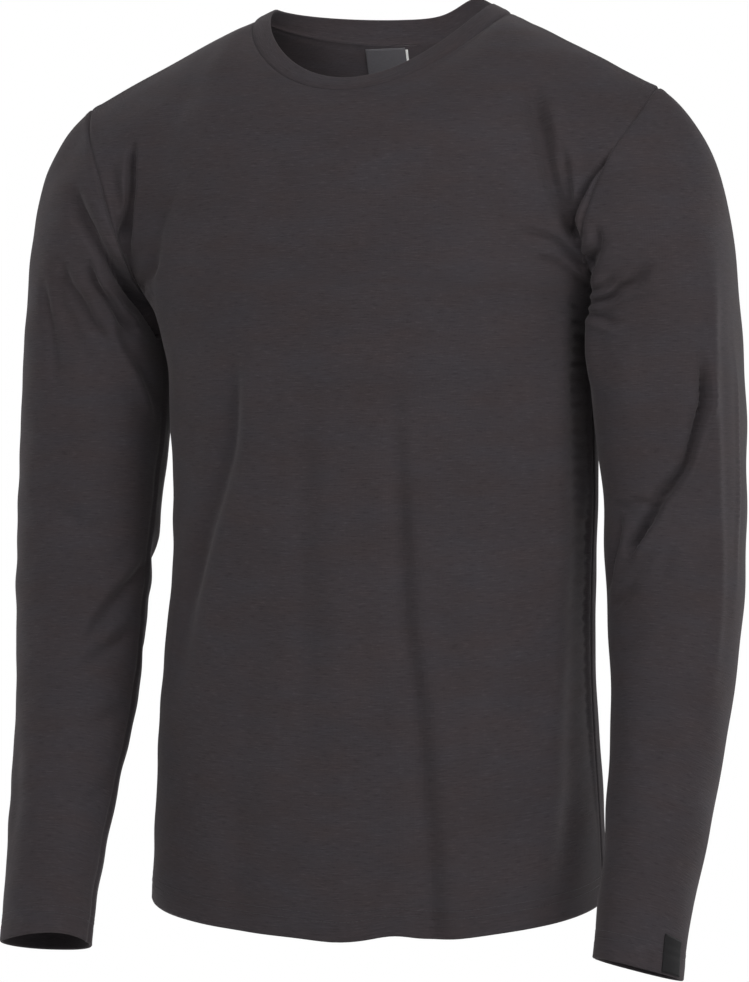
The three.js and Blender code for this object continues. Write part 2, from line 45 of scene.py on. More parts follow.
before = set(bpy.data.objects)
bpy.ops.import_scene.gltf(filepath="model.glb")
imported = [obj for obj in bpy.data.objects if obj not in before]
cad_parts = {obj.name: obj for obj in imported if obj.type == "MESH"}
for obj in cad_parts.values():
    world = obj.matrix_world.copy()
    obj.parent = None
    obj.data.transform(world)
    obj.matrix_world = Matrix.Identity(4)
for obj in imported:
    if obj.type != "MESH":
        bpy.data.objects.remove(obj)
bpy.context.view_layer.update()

MM = 0.001


# The form, in millimetres


def table(names, *rows):
    """A table with named columns."""
    return dict(zip(names.split(), np.array(rows, float).T))


def read(rows, name, at, key="z"):
    """One column of a table at any place, by a smooth curve through its rows."""
    xs, ys = rows[key], rows[name]
    if xs[0] > xs[-1]:
        xs, ys = xs[::-1], ys[::-1]
    count = np.arange(len(xs))
    before, after = np.maximum(count - 1, 0), np.minimum(count + 1, len(xs) - 1)
    slope = (ys[after] - ys[before]) / (xs[after] - xs[before])
    at = np.clip(at, xs[0], xs[-1])
    i = np.clip(np.searchsorted(xs, at, "right") - 1, 0, len(xs) - 2)
    span = xs[i + 1] - xs[i]
    t = (at - xs[i]) / span
    r = 1 - t
    return (
        (1 + 2 * t) * r * r * ys[i]
        + t * r * r * span * slope[i]
        + t * t * (3 - 2 * t) * ys[i + 1]
        - t * t * r * span * slope[i + 1]
    )


def spots(x, y, z):
    """Points from their coordinates, which may be arrays or numbers."""
    return np.stack(np.broadcast_arrays(x, y, z), -1).astype(float)


def unit(v):
    return v / np.maximum(np.linalg.norm(v, axis=-1, keepdims=True), 1e-9)


def power(value, exponent):
    return np.sign(value) * np.abs(value) ** exponent


def smooth_step(value):
    t = np.clip(value, 0, 1)
    return t * t * (3 - 2 * t)


UNDERARM_Z, HEM_Z = -218.0, -706.0
HEM_SIDE_RISE, HEM_CURVE = 22.0, 1.3
TORSO = table(
    "z half front back square lean shift",
    (-190, 194, 118, 110, 2.4, 0, 0),
    (-218, 183, 118, 109, 2.4, 0, 0),
    (-250, 170, 117, 106, 2.4, 1, 1),
    (-300, 168, 115, 101, 2.4, 3, 3),
    (-380, 167, 110, 96, 2.4, 5, 5),
    (-440, 167, 108, 95, 2.4, 5, 3),
    (-500, 170, 109, 98, 2.4, 2, 0.5),
    (-560, 173, 111, 103, 2.4, 0, 0.5),
    (-620, 176.5, 112, 107, 2.4, 0, 1),
    (-706, 180, 113, 110, 2.4, 0, 1),
)

NECK_TILT, NECK_CURVE, NECK_SHARE = 0.02, 1.5, 0.5
NECK_SEAM = dict(half=103, front=88, back=68, side_y=16, side_z=-2, front_z=-71, back_z=-18)
BAND_TOP = dict(half=88, front=78, back=66, side_y=17, side_z=6, front_z=-60, back_z=2)

# The armhole, by degrees from the shoulder tip round the front to the underarm and the back.
ARMHOLE = table(
    "at x y z",
    (0, 228, -22, -70),
    (35, 220, -52, -93),
    (70, 203, -76, -125),
    (110, 184, -80, -178),
    (145, 182, -50, -209),
    (180, 183, -4, -218),
    (215, 182, 36, -206),
    (250, 185, 54, -170),
    (285, 196, 48, -128),
    (320, 216, 20, -92),
)
ARMHOLE_LOOP = {
    name: np.concatenate(
        [column[-2:] - 360 * (name == "at"), column, column[:2] + 360 * (name == "at")]
    )
    for name, column in ARMHOLE.items()
}

SHOULDER_BOW, SHOULDER_SLOPE = 1.0, 6.0
NECK_SLOPE = {-1: 52.0, 1: 62.0}
NECK_SLOPE_FADE = 1.2
YOKE_START, YOKE_END, EDGE_FROM = 0.42, 0.36, 0.35

SLEEVE_COLUMNS = "z x y out inn deep pitch roll square"
SLEEVES = {
    1: table(
        SLEEVE_COLUMNS,
        (-255, 228, -5, 57, 53, 62, 0, 0, 2.8),
        (-300, 231.5, -5, 57, 56, 60, 0, 0, 2.7),
        (-379, 237, -4, 53, 53, 56, 3, 1, 2.4),
        (-456, 238, -11, 51, 51, 51, 8, 3, 2.2),
        (-534, 238, -25, 45, 45, 46, 15, 5, 2.1),
        (-611, 236, -56, 38.5, 38.5, 40, 22, 8, 2),
        (-690, 232, -90, 33.5, 33.5, 34, 23, 10, 2),
        (-719, 231, -101, 33, 33, 32, 14, 11, 2),
    ),
    -1: table(
        SLEEVE_COLUMNS,
        (-255, 227.5, -5, 57, 52, 62, 0, 0, 2.8),
        (-300, 231.5, -5, 57, 57, 60, 0, 0, 2.7),
        (-379, 239, -4, 55.5, 55.5, 54, 3, 1, 2.4),
        (-456, 242, -11, 53, 53, 49, 8, 1, 2.2),
        (-534, 241.5, -25, 48.5, 48.5, 44, 15, 2, 2.1),
        (-611, 240, -56, 42.5, 42.5, 38, 22, 2, 2),
        (-690, 236.5, -90, 36.5, 36.5, 33, 23, 2, 2),
        (-720, 235, -101, 35.5, 35.5, 31, 16, 2, 2),
    ),
}
# The way that the cloth leaves the armhole at the top, front, underarm and back.
CAP_WAYS = np.array([(0.83, 0, -0.56), (0.72, -0.3, -0.62), (0.85, 0, -0.5), (0.75, 0.35, -0.55)])
CAP_START, CAP_END = 0.34, 0.42
CAP_PROBE = 2.0


def armhole(turn):
    at = np.mod(turn, 360)
    return spots(*(read(ARMHOLE_LOOP, name, at, "at") for name in "xyz"))


def torso(u, z, facing):
    angle = np.radians(90 * u)
    exponent = 2 / read(TORSO, "square", z)
    deep = read(TORSO, "front" if facing < 0 else "back", z)
    x = read(TORSO, "shift", z) + read(TORSO, "half", z) * power(np.sin(angle), exponent)
    return spots(x, read(TORSO, "lean", z) + facing * deep * np.abs(np.cos(angle)) ** exponent, z)


def neck_edge(edge, turn):
    """The neck seam or the band's top: turn 0 is the front and 90 the wearer's left."""
    ahead, across = np.cos(np.radians(turn)), np.sin(np.radians(turn))
    deep = np.where(ahead > 0, edge["front"] + edge["side_y"], edge["back"] - edge["side_y"])
    rise = np.where(ahead > 0, edge["front_z"], edge["back_z"]) - edge["side_z"]
    x = edge["half"] * across
    z = edge["side_z"] + rise * np.abs(ahead) ** NECK_CURVE - NECK_TILT * x
    return spots(x, edge["side_y"] - deep * ahead, z)


def panel_top(u, facing):
    """A panel's top edge: shoulder seam, neck seam, shoulder seam."""
    side = np.where(u < 0, -1.0, 1.0)
    turn = 90 * u / NECK_SHARE
    at_neck = neck_edge(NECK_SEAM, turn if facing < 0 else 180 - turn)
    along = np.clip((np.abs(u) - NECK_SHARE) / (1 - NECK_SHARE), 0, 1)[..., None]
    start = neck_edge(NECK_SEAM, 90 * side)
    tip = armhole(0.0) * np.stack([side, np.ones_like(side), np.ones_like(side)], -1)
    at_shoulder = start + (tip - start) * along
    at_shoulder[..., 2:] += SHOULDER_BOW * 4 * along * (1 - along)
    return np.where(np.abs(u)[..., None] <= NECK_SHARE, at_neck, at_shoulder)


def bezier(a, b, c, d, t):
    r = 1 - t
    return a * r**3 + b * 3 * r * r * t + c * 3 * r * t * t + d * t**3


def yoke(u, s, facing):
    """Panel columns u from the underarm level up to the top edge, at shares s of the way."""
    base = torso(u, np.full_like(u, UNDERARM_Z), facing)
    up = unit(torso(u, np.full_like(u, UNDERARM_Z + 1), facing) - base)
    top = panel_top(u, facing)
    near = np.maximum(np.cos(np.clip(np.abs(u) / NECK_SHARE, 0, 1) * math.pi / 2), 0)
    slope = np.radians(
        SHOULDER_SLOPE + (NECK_SLOPE[facing] - SHOULDER_SLOPE) * near**NECK_SLOPE_FADE
    )
    arriving = spots(0, -facing * np.cos(slope), np.sin(slope))
    reach = np.linalg.norm(top - base, axis=-1, keepdims=True)
    return bezier(
        base, base + up * reach * YOKE_START, top - arriving * reach * YOKE_END, top, s
    )


def sleeve_ring(rows, turn, z):
    pitch, roll = np.radians(read(rows, "pitch", z)), np.radians(read(rows, "roll", z))
    exponent = 2 / read(rows, "square", z)
    cosine = np.cos(np.radians(turn))
    ahead = power(np.sin(np.radians(turn)), exponent) * read(rows, "deep", z)
    half = np.where(cosine > 0, read(rows, "out", z), read(rows, "inn", z))
    across = power(cosine, exponent) * half
    return spots(
        read(rows, "x", z) + across * np.cos(roll),
        read(rows, "y", z) - ahead * np.cos(pitch),
        z - across * np.sin(roll) + ahead * np.sin(pitch),
    )


def cap(rows, turn, t):
    """The sleeve between the armhole, t 0, and its first ring, t 1."""
    start = armhole(turn)
    top = rows["z"][0]
    end = sleeve_ring(rows, turn, np.full_like(turn, top))
    down = unit(sleeve_ring(rows, turn, np.full_like(turn, top - CAP_PROBE)) - end)
    cosine, sine = np.cos(np.radians(turn)), np.sin(np.radians(turn))
    shares = np.maximum([cosine, sine, -cosine, -sine], 0) ** 2
    leaving = unit(shares.T @ CAP_WAYS)
    reach = np.linalg.norm(end - start, axis=-1, keepdims=True)
    return bezier(start, start + leaving * reach * CAP_START, end - down * reach * CAP_END, end, t)


# Grids

# Lines of the grids. The extra ones beside an edge carry its seam's dip or its rounded fold.
SEAM_LINES = np.array([0.0028, 0.0064, 0.0112, 0.0176, 0.026])
HEM_LINES = np.array([0.0003, 0.0009, 0.0022])
SHOULDER_U = np.linspace(1, NECK_SHARE, 62)
U_RIGHT = np.unique(
    np.concatenate([np.linspace(0, NECK_SHARE, 35), SHOULDER_U, 1 - SEAM_LINES]).round(6)
)
PANEL_U = np.concatenate([-U_RIGHT[:0:-1], U_RIGHT])
TORSO_V = np.unique(np.concatenate([np.linspace(0, 1, 122)[:-1], HEM_LINES]))
YOKE_S = np.unique(np.concatenate([np.linspace(0, 1, 76), 1 - SEAM_LINES]).round(6))
# Round a sleeve from the underarm over the back and the shoulder to the front.
SLEEVE_TURNS = np.concatenate([180 * (YOKE_S[:-1] - 1), 180 * (1 - YOKE_S[:0:-1])])
CAP_T = np.unique(np.concatenate([np.linspace(0, 1, 54)[:-1], SEAM_LINES * 1.4]))
SLEEVE_V = np.unique(np.concatenate([np.linspace(0, 1, 186), 1 - HEM_LINES]))
NECK_TURNS = 180 * PANEL_U[np.abs(PANEL_U) <= NECK_SHARE + 1e-9]
# Round the neck from the join at the back.
BAND_TURNS = np.unique(np.concatenate([NECK_TURNS, (360 - NECK_TURNS) % 360 - 180]).round(6))
BAND_T = np.array(
    [0, 0.04, 0.09, 0.15, 0.22, 0.32, 0.42, 0.52, 0.62, 0.72, 0.81, 0.88, 0.93]
    + [0.965, 0.985, 0.996, 1]
)


def panel_grid(facing):
    """Rows from the hem up. The sides of the upper rows follow the armholes."""
    hem = HEM_Z + HEM_SIDE_RISE * np.abs(PANEL_U) ** HEM_CURVE
    z = hem + (UNDERARM_Z - hem) * TORSO_V[:, None]
    lower = torso(np.broadcast_to(PANEL_U, z.shape), z, facing)
    s = YOKE_S[:, None, None]
    upper = yoke(PANEL_U, s, facing)
    seam = armhole(180 + facing * 180 * YOKE_S)
    pull = np.clip((np.abs(PANEL_U) - EDGE_FROM) / (1 - EDGE_FROM), 0, 1) ** 2
    for side, column in ((-1, 0), (1, -1)):
        missing = seam * (side, 1, 1) - upper[:, column]
        upper += np.where((PANEL_U * side > 0)[:, None], pull[:, None], 0) * missing[:, None]
    return np.concatenate([lower, upper])


def sleeve_grid(side):
    """Rows from the armhole down to the cuff."""
    rows = SLEEVES[side]
    upper = cap(rows, SLEEVE_TURNS, CAP_T[:, None, None])
    z = rows["z"][0] + (rows["z"][-1] - rows["z"][0]) * SLEEVE_V
    z = np.broadcast_to(z[:, None], (len(z), len(SLEEVE_TURNS)))
    lower = sleeve_ring(rows, np.broadcast_to(SLEEVE_TURNS, z.shape), z)
    return np.concatenate([upper, lower]) * (side, 1, 1)


def band_grid():
    seam, top = neck_edge(NECK_SEAM, BAND_TURNS), neck_edge(BAND_TOP, BAND_TURNS)
    return seam + (top - seam) * BAND_T[:, None, None]


NECK_STAND = dict(x=62, y=48, z=-4, wide_x=24, wide_y=20, wide_z=30, rise=12)


def stood(grid):
    """The back of the neck stands higher at the wearer's left, as the collar does there."""
    s = NECK_STAND
    share = np.exp(-(((grid[..., 0] - s["x"]) / s["wide_x"]) ** 2))
    share *= np.exp(-(((grid[..., 1] - s["y"]) / s["wide_y"]) ** 2))
    share *= np.exp(-((np.minimum(grid[..., 2] - s["z"], 0) / s["wide_z"]) ** 2))
    return grid + share[..., None] * (0, 0, s["rise"])


# The front hem's lifts: where across, how wide and how high.
HEM_WAVES = ((48, 19, 3.2), (4, 24, -1.4), (96, 24, -1.2))
HEM_WAVE_HIGH = 55.0
CUFF_RISE = dict(turn=125.0, rise=5.0, high=38.0)


def waved(grid):
    """The hem of the front panel isn't level. It lifts a little beside the middle trough."""
    lift = sum(rise * np.exp(-(((grid[..., 0] - x) / wide) ** 2)) for x, wide, rise in HEM_WAVES)
    lift = lift * smooth_step(1 - (grid[..., 2] - HEM_Z) / HEM_WAVE_HIGH)
    return grid + lift[..., None] * (0, 0, 1)


def tilted(grid):
    """The front edge of the right cuff rises towards the body."""
    share = np.maximum(np.cos(np.radians(SLEEVE_TURNS - CUFF_RISE["turn"])), 0) ** 2
    share = share * smooth_step(1 - travelled(grid, 0, True) / CUFF_RISE["high"])
    return grid + share[..., None] * (0, 0, CUFF_RISE["rise"])


def relaxed(grid, closed, passes):
    """Eases corners out of the inside of a grid and leaves its edges where they are."""
    for _ in range(passes):
        if closed:
            near = (np.roll(grid, 1, 1) + np.roll(grid, -1, 1))[1:-1]
            grid[1:-1] += 0.5 * ((near + grid[:-2] + grid[2:]) / 4 - grid[1:-1])
        else:
            near = grid[1:-1, :-2] + grid[1:-1, 2:] + grid[:-2, 1:-1] + grid[2:, 1:-1]
            grid[1:-1, 1:-1] += 0.5 * (near / 4 - grid[1:-1, 1:-1])
    return grid


def normals_of(grid, closed, flip):
    if closed:
        across = np.roll(grid, -1, 1) - np.roll(grid, 1, 1)
    else:
        across = np.gradient(grid, axis=1)
    up = np.gradient(grid, axis=0)
    return unit(np.cross(across, up)) * (-1 if flip else 1)


def travelled(grid, axis, from_end=False):
    """How far each point is from the grid's first or last line, along the cloth."""
    steps = np.linalg.norm(np.diff(grid, axis=axis), axis=-1)
    pad = [(0, 0), (0, 0)]
    pad[axis] = (1, 0)
    far = np.cumsum(np.pad(steps, pad), axis=axis)
    return far.max(axis=axis, keepdims=True) - far if from_end else far


# Folds

FOLD_COLUMNS = "path wide_start wide_end deep ridge side fade_start fade_end"


def folds(*rows):
    """Folds by named column: the path, the widths at its ends, the depth, the ridge beside it and
    on which side, and the shares of its length that fade out. A panel's path has x and z in each
    place, and a sleeve's has degrees round the sleeve and z."""
    made = [dict(zip(FOLD_COLUMNS.split(), row)) for row in rows]
    for fold in made:
        places = fold["path"].split(",")
        fold["path"] = [[float(part) for part in place.split()] for place in places]
    return made


FRONT_FOLDS = folds(
    ("-79 -256, -83 -302, -89 -341, -103 -379, -117 -414, -127 -449, -134 -487, -139 -545",
     8, 13, 8, 2.4, 1, 0.2, 0.4),
    ("-26 -270, -23 -332, -26 -395, -25 -453, -19 -529, -10 -601", 11, 14, 2.6, 1.6, 1, 0.3, 0.4),
    ("50 -256, 48 -326, 49 -378, 51 -424, 53 -469, 62 -527, 70 -599, 77 -706",
     7, 9.5, 6.6, 2, 1, 0.38, 0),
    ("104 -330, 108 -430, 112 -540, 114 -706", 22, 26, -3.5, 0, 1, 0.4, 0),
    ("6 -430, 0 -540, -4 -706", 24, 30, -2.5, 0, 1, 0.5, 0),
    ("-56 -440, -66 -530, -75 -605, -80 -706", 12, 16, 3, 1.2, 1, 0.4, 0),
    ("175 -216, 170 -240, 168 -275, 168 -320, 169 -365, 169 -410, 168 -492, 168 -603, "
     "160 -690", 3.4, 8, 5, 2.6, -1, 0.06, 0.2),
    ("138 -62, 145 -86, 153 -108, 158 -130, 166 -156, 178 -184", 7, 4.5, 7.5, 3, 1, 0.3, 0.03),
    ("165 -108, 169 -128, 171 -140, 174 -156, 178 -178", 4.5, 3.5, 4.5, 1.8, 1, 0.35, 0.1),
    ("208 -116, 201 -128, 194 -136, 187 -147, 182 -157, 179 -170, 178 -186",
     2.5, 2.7, 7.5, 1.6, 1, 0.2, 0.05),
    ("132 -180, 142 -182, 153 -184, 164 -189, 179 -206", 3.4, 3.2, 4, 2.2, 1, 0.35, 0.03),
    ("144 -199, 153 -201, 163 -204, 179 -220", 3.2, 3, 3.4, 2, 1, 0.35, 0.03),
    ("-176 -100, -176 -115, -175 -128, -175 -142, -177 -160, -181 -182",
     3.2, 2.8, 9, 1.4, -1, 0.22, 0.15),
    ("-196 -112, -188 -135, -182 -160, -181 -190", 4.5, 4, 3.4, 1.4, 1, 0.4, 0.05),
    ("-124 -130, -139 -154, -147 -168, -152 -188, -159 -206, -170 -240",
     8.5, 8, 3.4, 1.4, 1, 0.35, 0.3),
    ("-146 -192, -160 -204, -178 -216", 5, 4, 3, 1.6, 1, 0.4, 0.05),
    ("-180 -224, -172 -250, -166 -290, -164 -340, -165 -400", 6, 6, 4, 0, 1, 0.1, 0.4),
    ("-60 -92, -20 -112, 30 -112, 66 -94", 10, 10, 1.2, 0, 1, 0.4, 0.4),
)
BACK_FOLDS = folds(
    ("6 -250, -2 -360, -6 -480, 8 -706", 10, 14, 7, 2, 1, 0.4, 0),
    ("-96 -280, -104 -400, -98 -540, -84 -706", 8, 13, 6.5, 2, 1, 0.35, 0),
    ("92 -270, 106 -390, 102 -540, 94 -706", 8, 13, 6.5, 2, -1, 0.35, 0),
    ("-46 -420, -50 -560, -46 -706", 18, 24, -3, 0, 1, 0.4, 0),
    ("52 -400, 50 -560, 48 -706", 18, 24, -3, 0, 1, 0.4, 0),
    ("-104 -92, -126 -124, -146 -166, -178 -206", 7, 4, 5.5, 2.2, 1, 0.35, 0.05),
    ("108 -88, 130 -122, 150 -166, 178 -206", 7, 4, 5.5, 2.2, -1, 0.35, 0.05),
    ("-150 -130, -166 -160, -180 -190", 4, 3.4, 4, 1.8, 1, 0.35, 0.1),
    ("154 -128, 168 -158, 180 -190", 4, 3.4, 4, 1.8, -1, 0.35, 0.1),
    ("-120 -210, -146 -212, -178 -220", 4.5, 4, 3.6, 1.8, 1, 0.4, 0.1),
    ("118 -206, 146 -210, 178 -220", 4.5, 4, 3.6, 1.8, -1, 0.4, 0.1),
    ("-70 -290, 0 -304, 66 -288", 10, 10, 3.6, 1.8, 1, 0.4, 0.4),
    ("-50 -356, 10 -366, 60 -350", 9, 9, 3, 1.5, 1, 0.4, 0.4),
)
LEFT_FOLDS = folds(
    ("139 -225, 124 -223, 109 -219, 98 -210", 2.8, 2.8, 4.2, 2.4, 1, 0.4, 0.35),
    ("146 -234, 130 -232, 109 -229, 100 -223, 91 -219, 86 -210, 76 -196",
     2.8, 3, 6.4, 3, 1, 0.35, 0.35),
    ("148 -239, 133 -241, 112 -247, 98 -252", 3, 3.6, 3.8, 2.2, 1, 0.4, 0.4),
    ("118 -206, 132 -236, 139 -264, 142 -310", 11, 12, -6, 0, 1, 0.12, 0.4),
    ("53 -264, 53 -304, 59 -320, 65 -336, 71 -352, 80 -365, 89 -377, 97 -393, 106 -405, "
     "120 -422", 3.2, 3.8, 12, 4, -1, 0.22, 0.1),
    ("122 -386, 130 -408, 139 -424, 150 -447", 4, 4.5, 4.6, 1.6, -1, 0.25, 0.3),
    ("146 -462, 121 -448, 104 -438", 4.5, 4.2, 3.4, 2, -1, 0.3, 0.35),
    ("91 -440, 86 -427, 77 -414", 4.2, 4.2, 2.6, 1.2, -1, 0.35, 0.35),
    ("136 -380, 115 -383, 103 -380, 87 -388", 2.8, 2.8, 2, 1.2, -1, 0.3, 0.3),
    ("96 -470, 120 -486, 150 -492", 7, 8, 2, 1.2, -1, 0.4, 0.4),
    ("26 -186, 35 -231, 41 -275, 44 -327, 44 -379, 41 -424, 37 -484, 36 -550",
     6.5, 7, -3.6, 0, 1, 0.2, 0.35),
    ("4 -236, 9 -304, 12 -357, 15 -410, 17 -470", 2.8, 3, -1.5, 0, 1, 0.35, 0.35),
    ("101 -176, 106 -186, 114 -194, 130 -201, 142 -206", 2.4, 2.6, 7.5, 3, 1, 0.25, 0.1),
    ("94 -180, 104 -191, 118 -200, 140 -209", 2.6, 2.6, 3.4, 1.8, 1, 0.4, 0.1),
    ("60 -540, 84 -556, 112 -566", 8, 9, 1.8, 0.8, -1, 0.4, 0.4),
    ("186 -404, 214 -436, 246 -448, 276 -440", 9, 9, 4.5, 2.4, 1, 0.3, 0.3),
    ("200 -450, 228 -474, 260 -478", 8, 8, 3.2, 2, 1, 0.3, 0.3),
    ("190 -488, 216 -506, 250 -512", 8, 9, 2.6, 1.4, 1, 0.4, 0.4),
    ("236 -280, 250 -330, 262 -370, 284 -430", 12, 12, 4, 1.6, 1, 0.3, 0.3),
    ("212 -232, 240 -240, 272 -262", 8, 10, 3, 1.2, 1, 0.1, 0.4),
    ("226 -206, 250 -214, 280 -230", 8, 9, 2.4, 1.2, 1, 0.1, 0.4),
    ("300 -560, 316 -610, 322 -680", 12, 12, 1.8, 0.6, 1, 0.4, 0.4),
)
RIGHT_FOLDS = folds(
    ("60 -130, 77 -152, 89 -167, 103 -184, 121 -199, 142 -213, 165 -228, 180 -252",
     3.2, 3.6, 10.5, 4.4, 1, 0.2, 0.03),
    ("95 -190, 106 -212, 121 -227, 133 -240, 152 -250", 3, 4, 7, 3.4, 1, 0.25, 0.15),
    ("79 -190, 86 -210, 94 -225, 103 -243, 118 -260", 3, 4.2, 5.8, 3, 1, 0.25, 0.3),
    ("79 -202, 83 -226, 89 -246, 93 -266", 3.4, 5, 3, 1.6, 1, 0.35, 0.4),
    ("124 -226, 121 -248, 127 -262, 145 -285, 170 -322", 5.5, 6, -3, -2.8, 1, 0.25, 0.2),
    ("64 -200, 71 -226, 77 -246, 81 -272, 84 -310", 3.2, 5, 3.6, 1.8, 1, 0.3, 0.4),
    ("357 -186, 353 -215, 346 -256", 8, 9, -2, 0, 1, 0.4, 0.4),
    ("104 -498, 118 -487, 130 -470, 150 -450, 182 -426", 6, 7, 4.6, 2.6, 1, 0.3, 0.2),
    ("96 -524, 124 -503, 148 -490, 176 -474", 7, 7, 3.2, 1.8, 1, 0.4, 0.3),
    ("60 -356, 84 -386, 112 -402, 150 -404", 9, 9, 2.2, 1.2, 1, 0.4, 0.4),
    ("118 -560, 146 -548, 172 -540", 8, 8, 2.2, 1.4, 1, 0.4, 0.3),
    ("128 -620, 152 -606, 176 -600", 7, 8, 1.8, 1, 1, 0.4, 0.3),
    ("186 -400, 212 -430, 244 -444, 276 -438", 9, 9, 4.5, 2.4, 1, 0.3, 0.3),
    ("198 -446, 228 -470, 262 -476", 8, 8, 3.2, 2, 1, 0.3, 0.3),
    ("190 -490, 220 -510, 252 -514", 8, 9, 2.6, 1.4, 1, 0.4, 0.4),
    ("238 -276, 250 -326, 264 -370, 286 -424", 12, 12, 4, 1.6, 1, 0.3, 0.3),
    ("214 -230, 242 -240, 274 -260", 8, 10, 3, 1.2, 1, 0.1, 0.4),
    ("40 -540, 46 -600, 42 -680", 12, 14, 1.8, 0.6, 1, 0.4, 0.4),
)
MM_PER_DEGREE = 0.9
PATH_POINTS = 48
# A fold's ridge stands this many widths from its path, and is this much wider.
RIDGE_AWAY, RIDGE_WIDE = 1.7, 1.25


def path_through(points):
    """A smooth path through the points, evenly cut."""
    p = np.array(points, float)
    far = np.concatenate([[0], np.cumsum(np.linalg.norm(np.diff(p, axis=0), axis=1))])
    rows = {"at": far, "a": p[:, 0], "b": p[:, 1]}
    at = np.linspace(0, far[-1], PATH_POINTS)
    return np.stack([read(rows, "a", at, "at"), read(rows, "b", at, "at")], -1)


def fold_depth(rows, place, scale=1.0):
    """How far the folds lower each place of the cloth. A ridge lifts it."""
    flat = place.reshape(-1, 2) * (scale, 1)
    depth = np.zeros(len(flat))
    for fold in rows:
        line = path_through(fold["path"]) * (scale, 1)
        reach = 4 * max(fold["wide_start"], fold["wide_end"])
        near = np.all((flat > line.min(0) - reach) & (flat < line.max(0) + reach), axis=1)
        spot = flat[near]
        away = spot[:, None] - line
        nearest = np.argmin((away**2).sum(-1), axis=1)
        along = np.gradient(line, axis=0)[nearest]
        along /= np.linalg.norm(along, axis=1, keepdims=True)
        gone = away[np.arange(len(spot)), nearest]
        across = along[:, 0] * gone[:, 1] - along[:, 1] * gone[:, 0]
        past = (along * gone).sum(-1)
        t = nearest / (PATH_POINTS - 1)
        wide = fold["wide_start"] + (fold["wide_end"] - fold["wide_start"]) * t
        ends = np.exp(-((past / wide) ** 2))
        if fold["fade_start"]:
            ends *= smooth_step(t / fold["fade_start"])
        if fold["fade_end"]:
            ends *= smooth_step((1 - t) / fold["fade_end"])
        beside = (across * fold["side"] - RIDGE_AWAY * wide) / (RIDGE_WIDE * wide)
        shape = fold["deep"] * np.exp(-((across / wide) ** 2))
        shape -= fold["ridge"] * np.exp(-(beside**2))
        depth[near] += shape * ends
    return depth.reshape(place.shape[:-1])


WAVE_COUNT = 14


def waves(place, seed, longest, shortest, height):
    """Slight unevenness of worn cloth, as a seeded sum of soft waves."""
    random = np.random.default_rng(seed)
    total = np.zeros(place.shape[:-1])
    for _ in range(WAVE_COUNT):
        way = random.normal(size=3)
        way /= np.linalg.norm(way)
        length = random.uniform(shortest, longest)
        total += np.sin(place @ way * (2 * math.pi / length) + random.uniform(0, 6.3))
    return total * height / math.sqrt(WAVE_COUNT / 2)


# Cloth shells

CLOTH_WALL, BAND_WALL = 1.2, 1.8
# How deep a seam lies and how wide, here and at the neck, the underarm and the band's join, and
# how far from a seam two pieces share their directions.
SEAM_DIP, SEAM_DIP_WIDE = 1.3, 1.5
NECK_DIP, NECK_BLEND = 0.5, 0.04
ALLOWANCE_LIFT, ALLOWANCE_WIDE, ALLOWANCE_EDGE = 0.3, 8.0, 2.5
UNDERARM_DIP, JOIN_DIP, BAND_SWELL = 0.8, 0.5, 0.5
SHARED_WIDE = 5.0


def seam_relief(far, dip=SEAM_DIP):
    """The dip at a seam, and beside it the lift of the allowance folded under the cloth."""
    under = smooth_step(far / ALLOWANCE_EDGE)
    under *= smooth_step((ALLOWANCE_WIDE - far) / ALLOWANCE_EDGE)
    return ALLOWANCE_LIFT * under - dip * np.exp(-((far / SEAM_DIP_WIDE) ** 2))


class Cloth:
    """A grid of points that becomes a thin closed shell. Its seams are the edges that it shares
    with other pieces, and level is the row from which its courses run level."""

    def __init__(
        self, name, grid, closed=False, flip=False, seams=(), wall=CLOTH_WALL, level=None
    ):
        self.name, self.grid, self.closed, self.flip = name, grid, closed, flip
        self.seams, self.wall, self.level = seams, wall, level
        self.far = {
            "first": travelled(grid, 0),
            "last": travelled(grid, 0, True),
            "left": travelled(grid, 1),
            "right": travelled(grid, 1, True),
        }
        self.seam_normals = {}
        self.uv = cloth_uv(self)

    def edge(self, field, seam):
        lines = {"first": field[0], "last": field[-1], "left": field[:, 0], "right": field[:, -1]}
        return lines[seam]

    def normals(self):
        own = normals_of(self.grid, self.closed, self.flip)
        for seam, shared in self.seam_normals.items():
            share = np.exp(-((self.far[seam] / SHARED_WIDE) ** 2))[..., None]
            line = shared[None] if seam in ("first", "last") else shared[:, None]
            own = unit(own * (1 - share) + line * share)
        return own

    def move(self, lift):
        self.grid = self.grid + self.normals() * lift[..., None]


def share_seams(cloths):
    """Pieces that meet at a seam get the direction halfway between them there."""
    sums = {}
    edges = [(cloth, seam) for cloth in cloths for seam in cloth.seams]
    for cloth, seam in edges:
        own = normals_of(cloth.grid, cloth.closed, cloth.flip)
        points, ways = cloth.edge(cloth.grid, seam), cloth.edge(own, seam)
        for key, way in zip(map(tuple, np.round(points, 1)), ways):
            sums.setdefault(key, {}).setdefault(cloth.name, way)
    for cloth, seam in edges:
        keys = map(tuple, np.round(cloth.edge(cloth.grid, seam), 1))
        cloth.seam_normals[seam] = unit(np.array([sum(sums[key].values()) for key in keys]))


def mesh_object(name, points, faces, material, uv):
    mesh = bpy.data.meshes.new(name)
    mesh.from_pydata((points * MM).tolist(), [], faces.tolist())
    layer = mesh.uv_layers.new(name="cloth")
    layer.data.foreach_set("uv", np.asarray(uv, np.float32).ravel())
    mesh.polygons.foreach_set("use_smooth", [True] * len(mesh.polygons))
    mesh.materials.append(material)
    mesh.validate()
    piece = bpy.data.objects.new(name, mesh)
    bpy.context.scene.collection.objects.link(piece)
    return piece


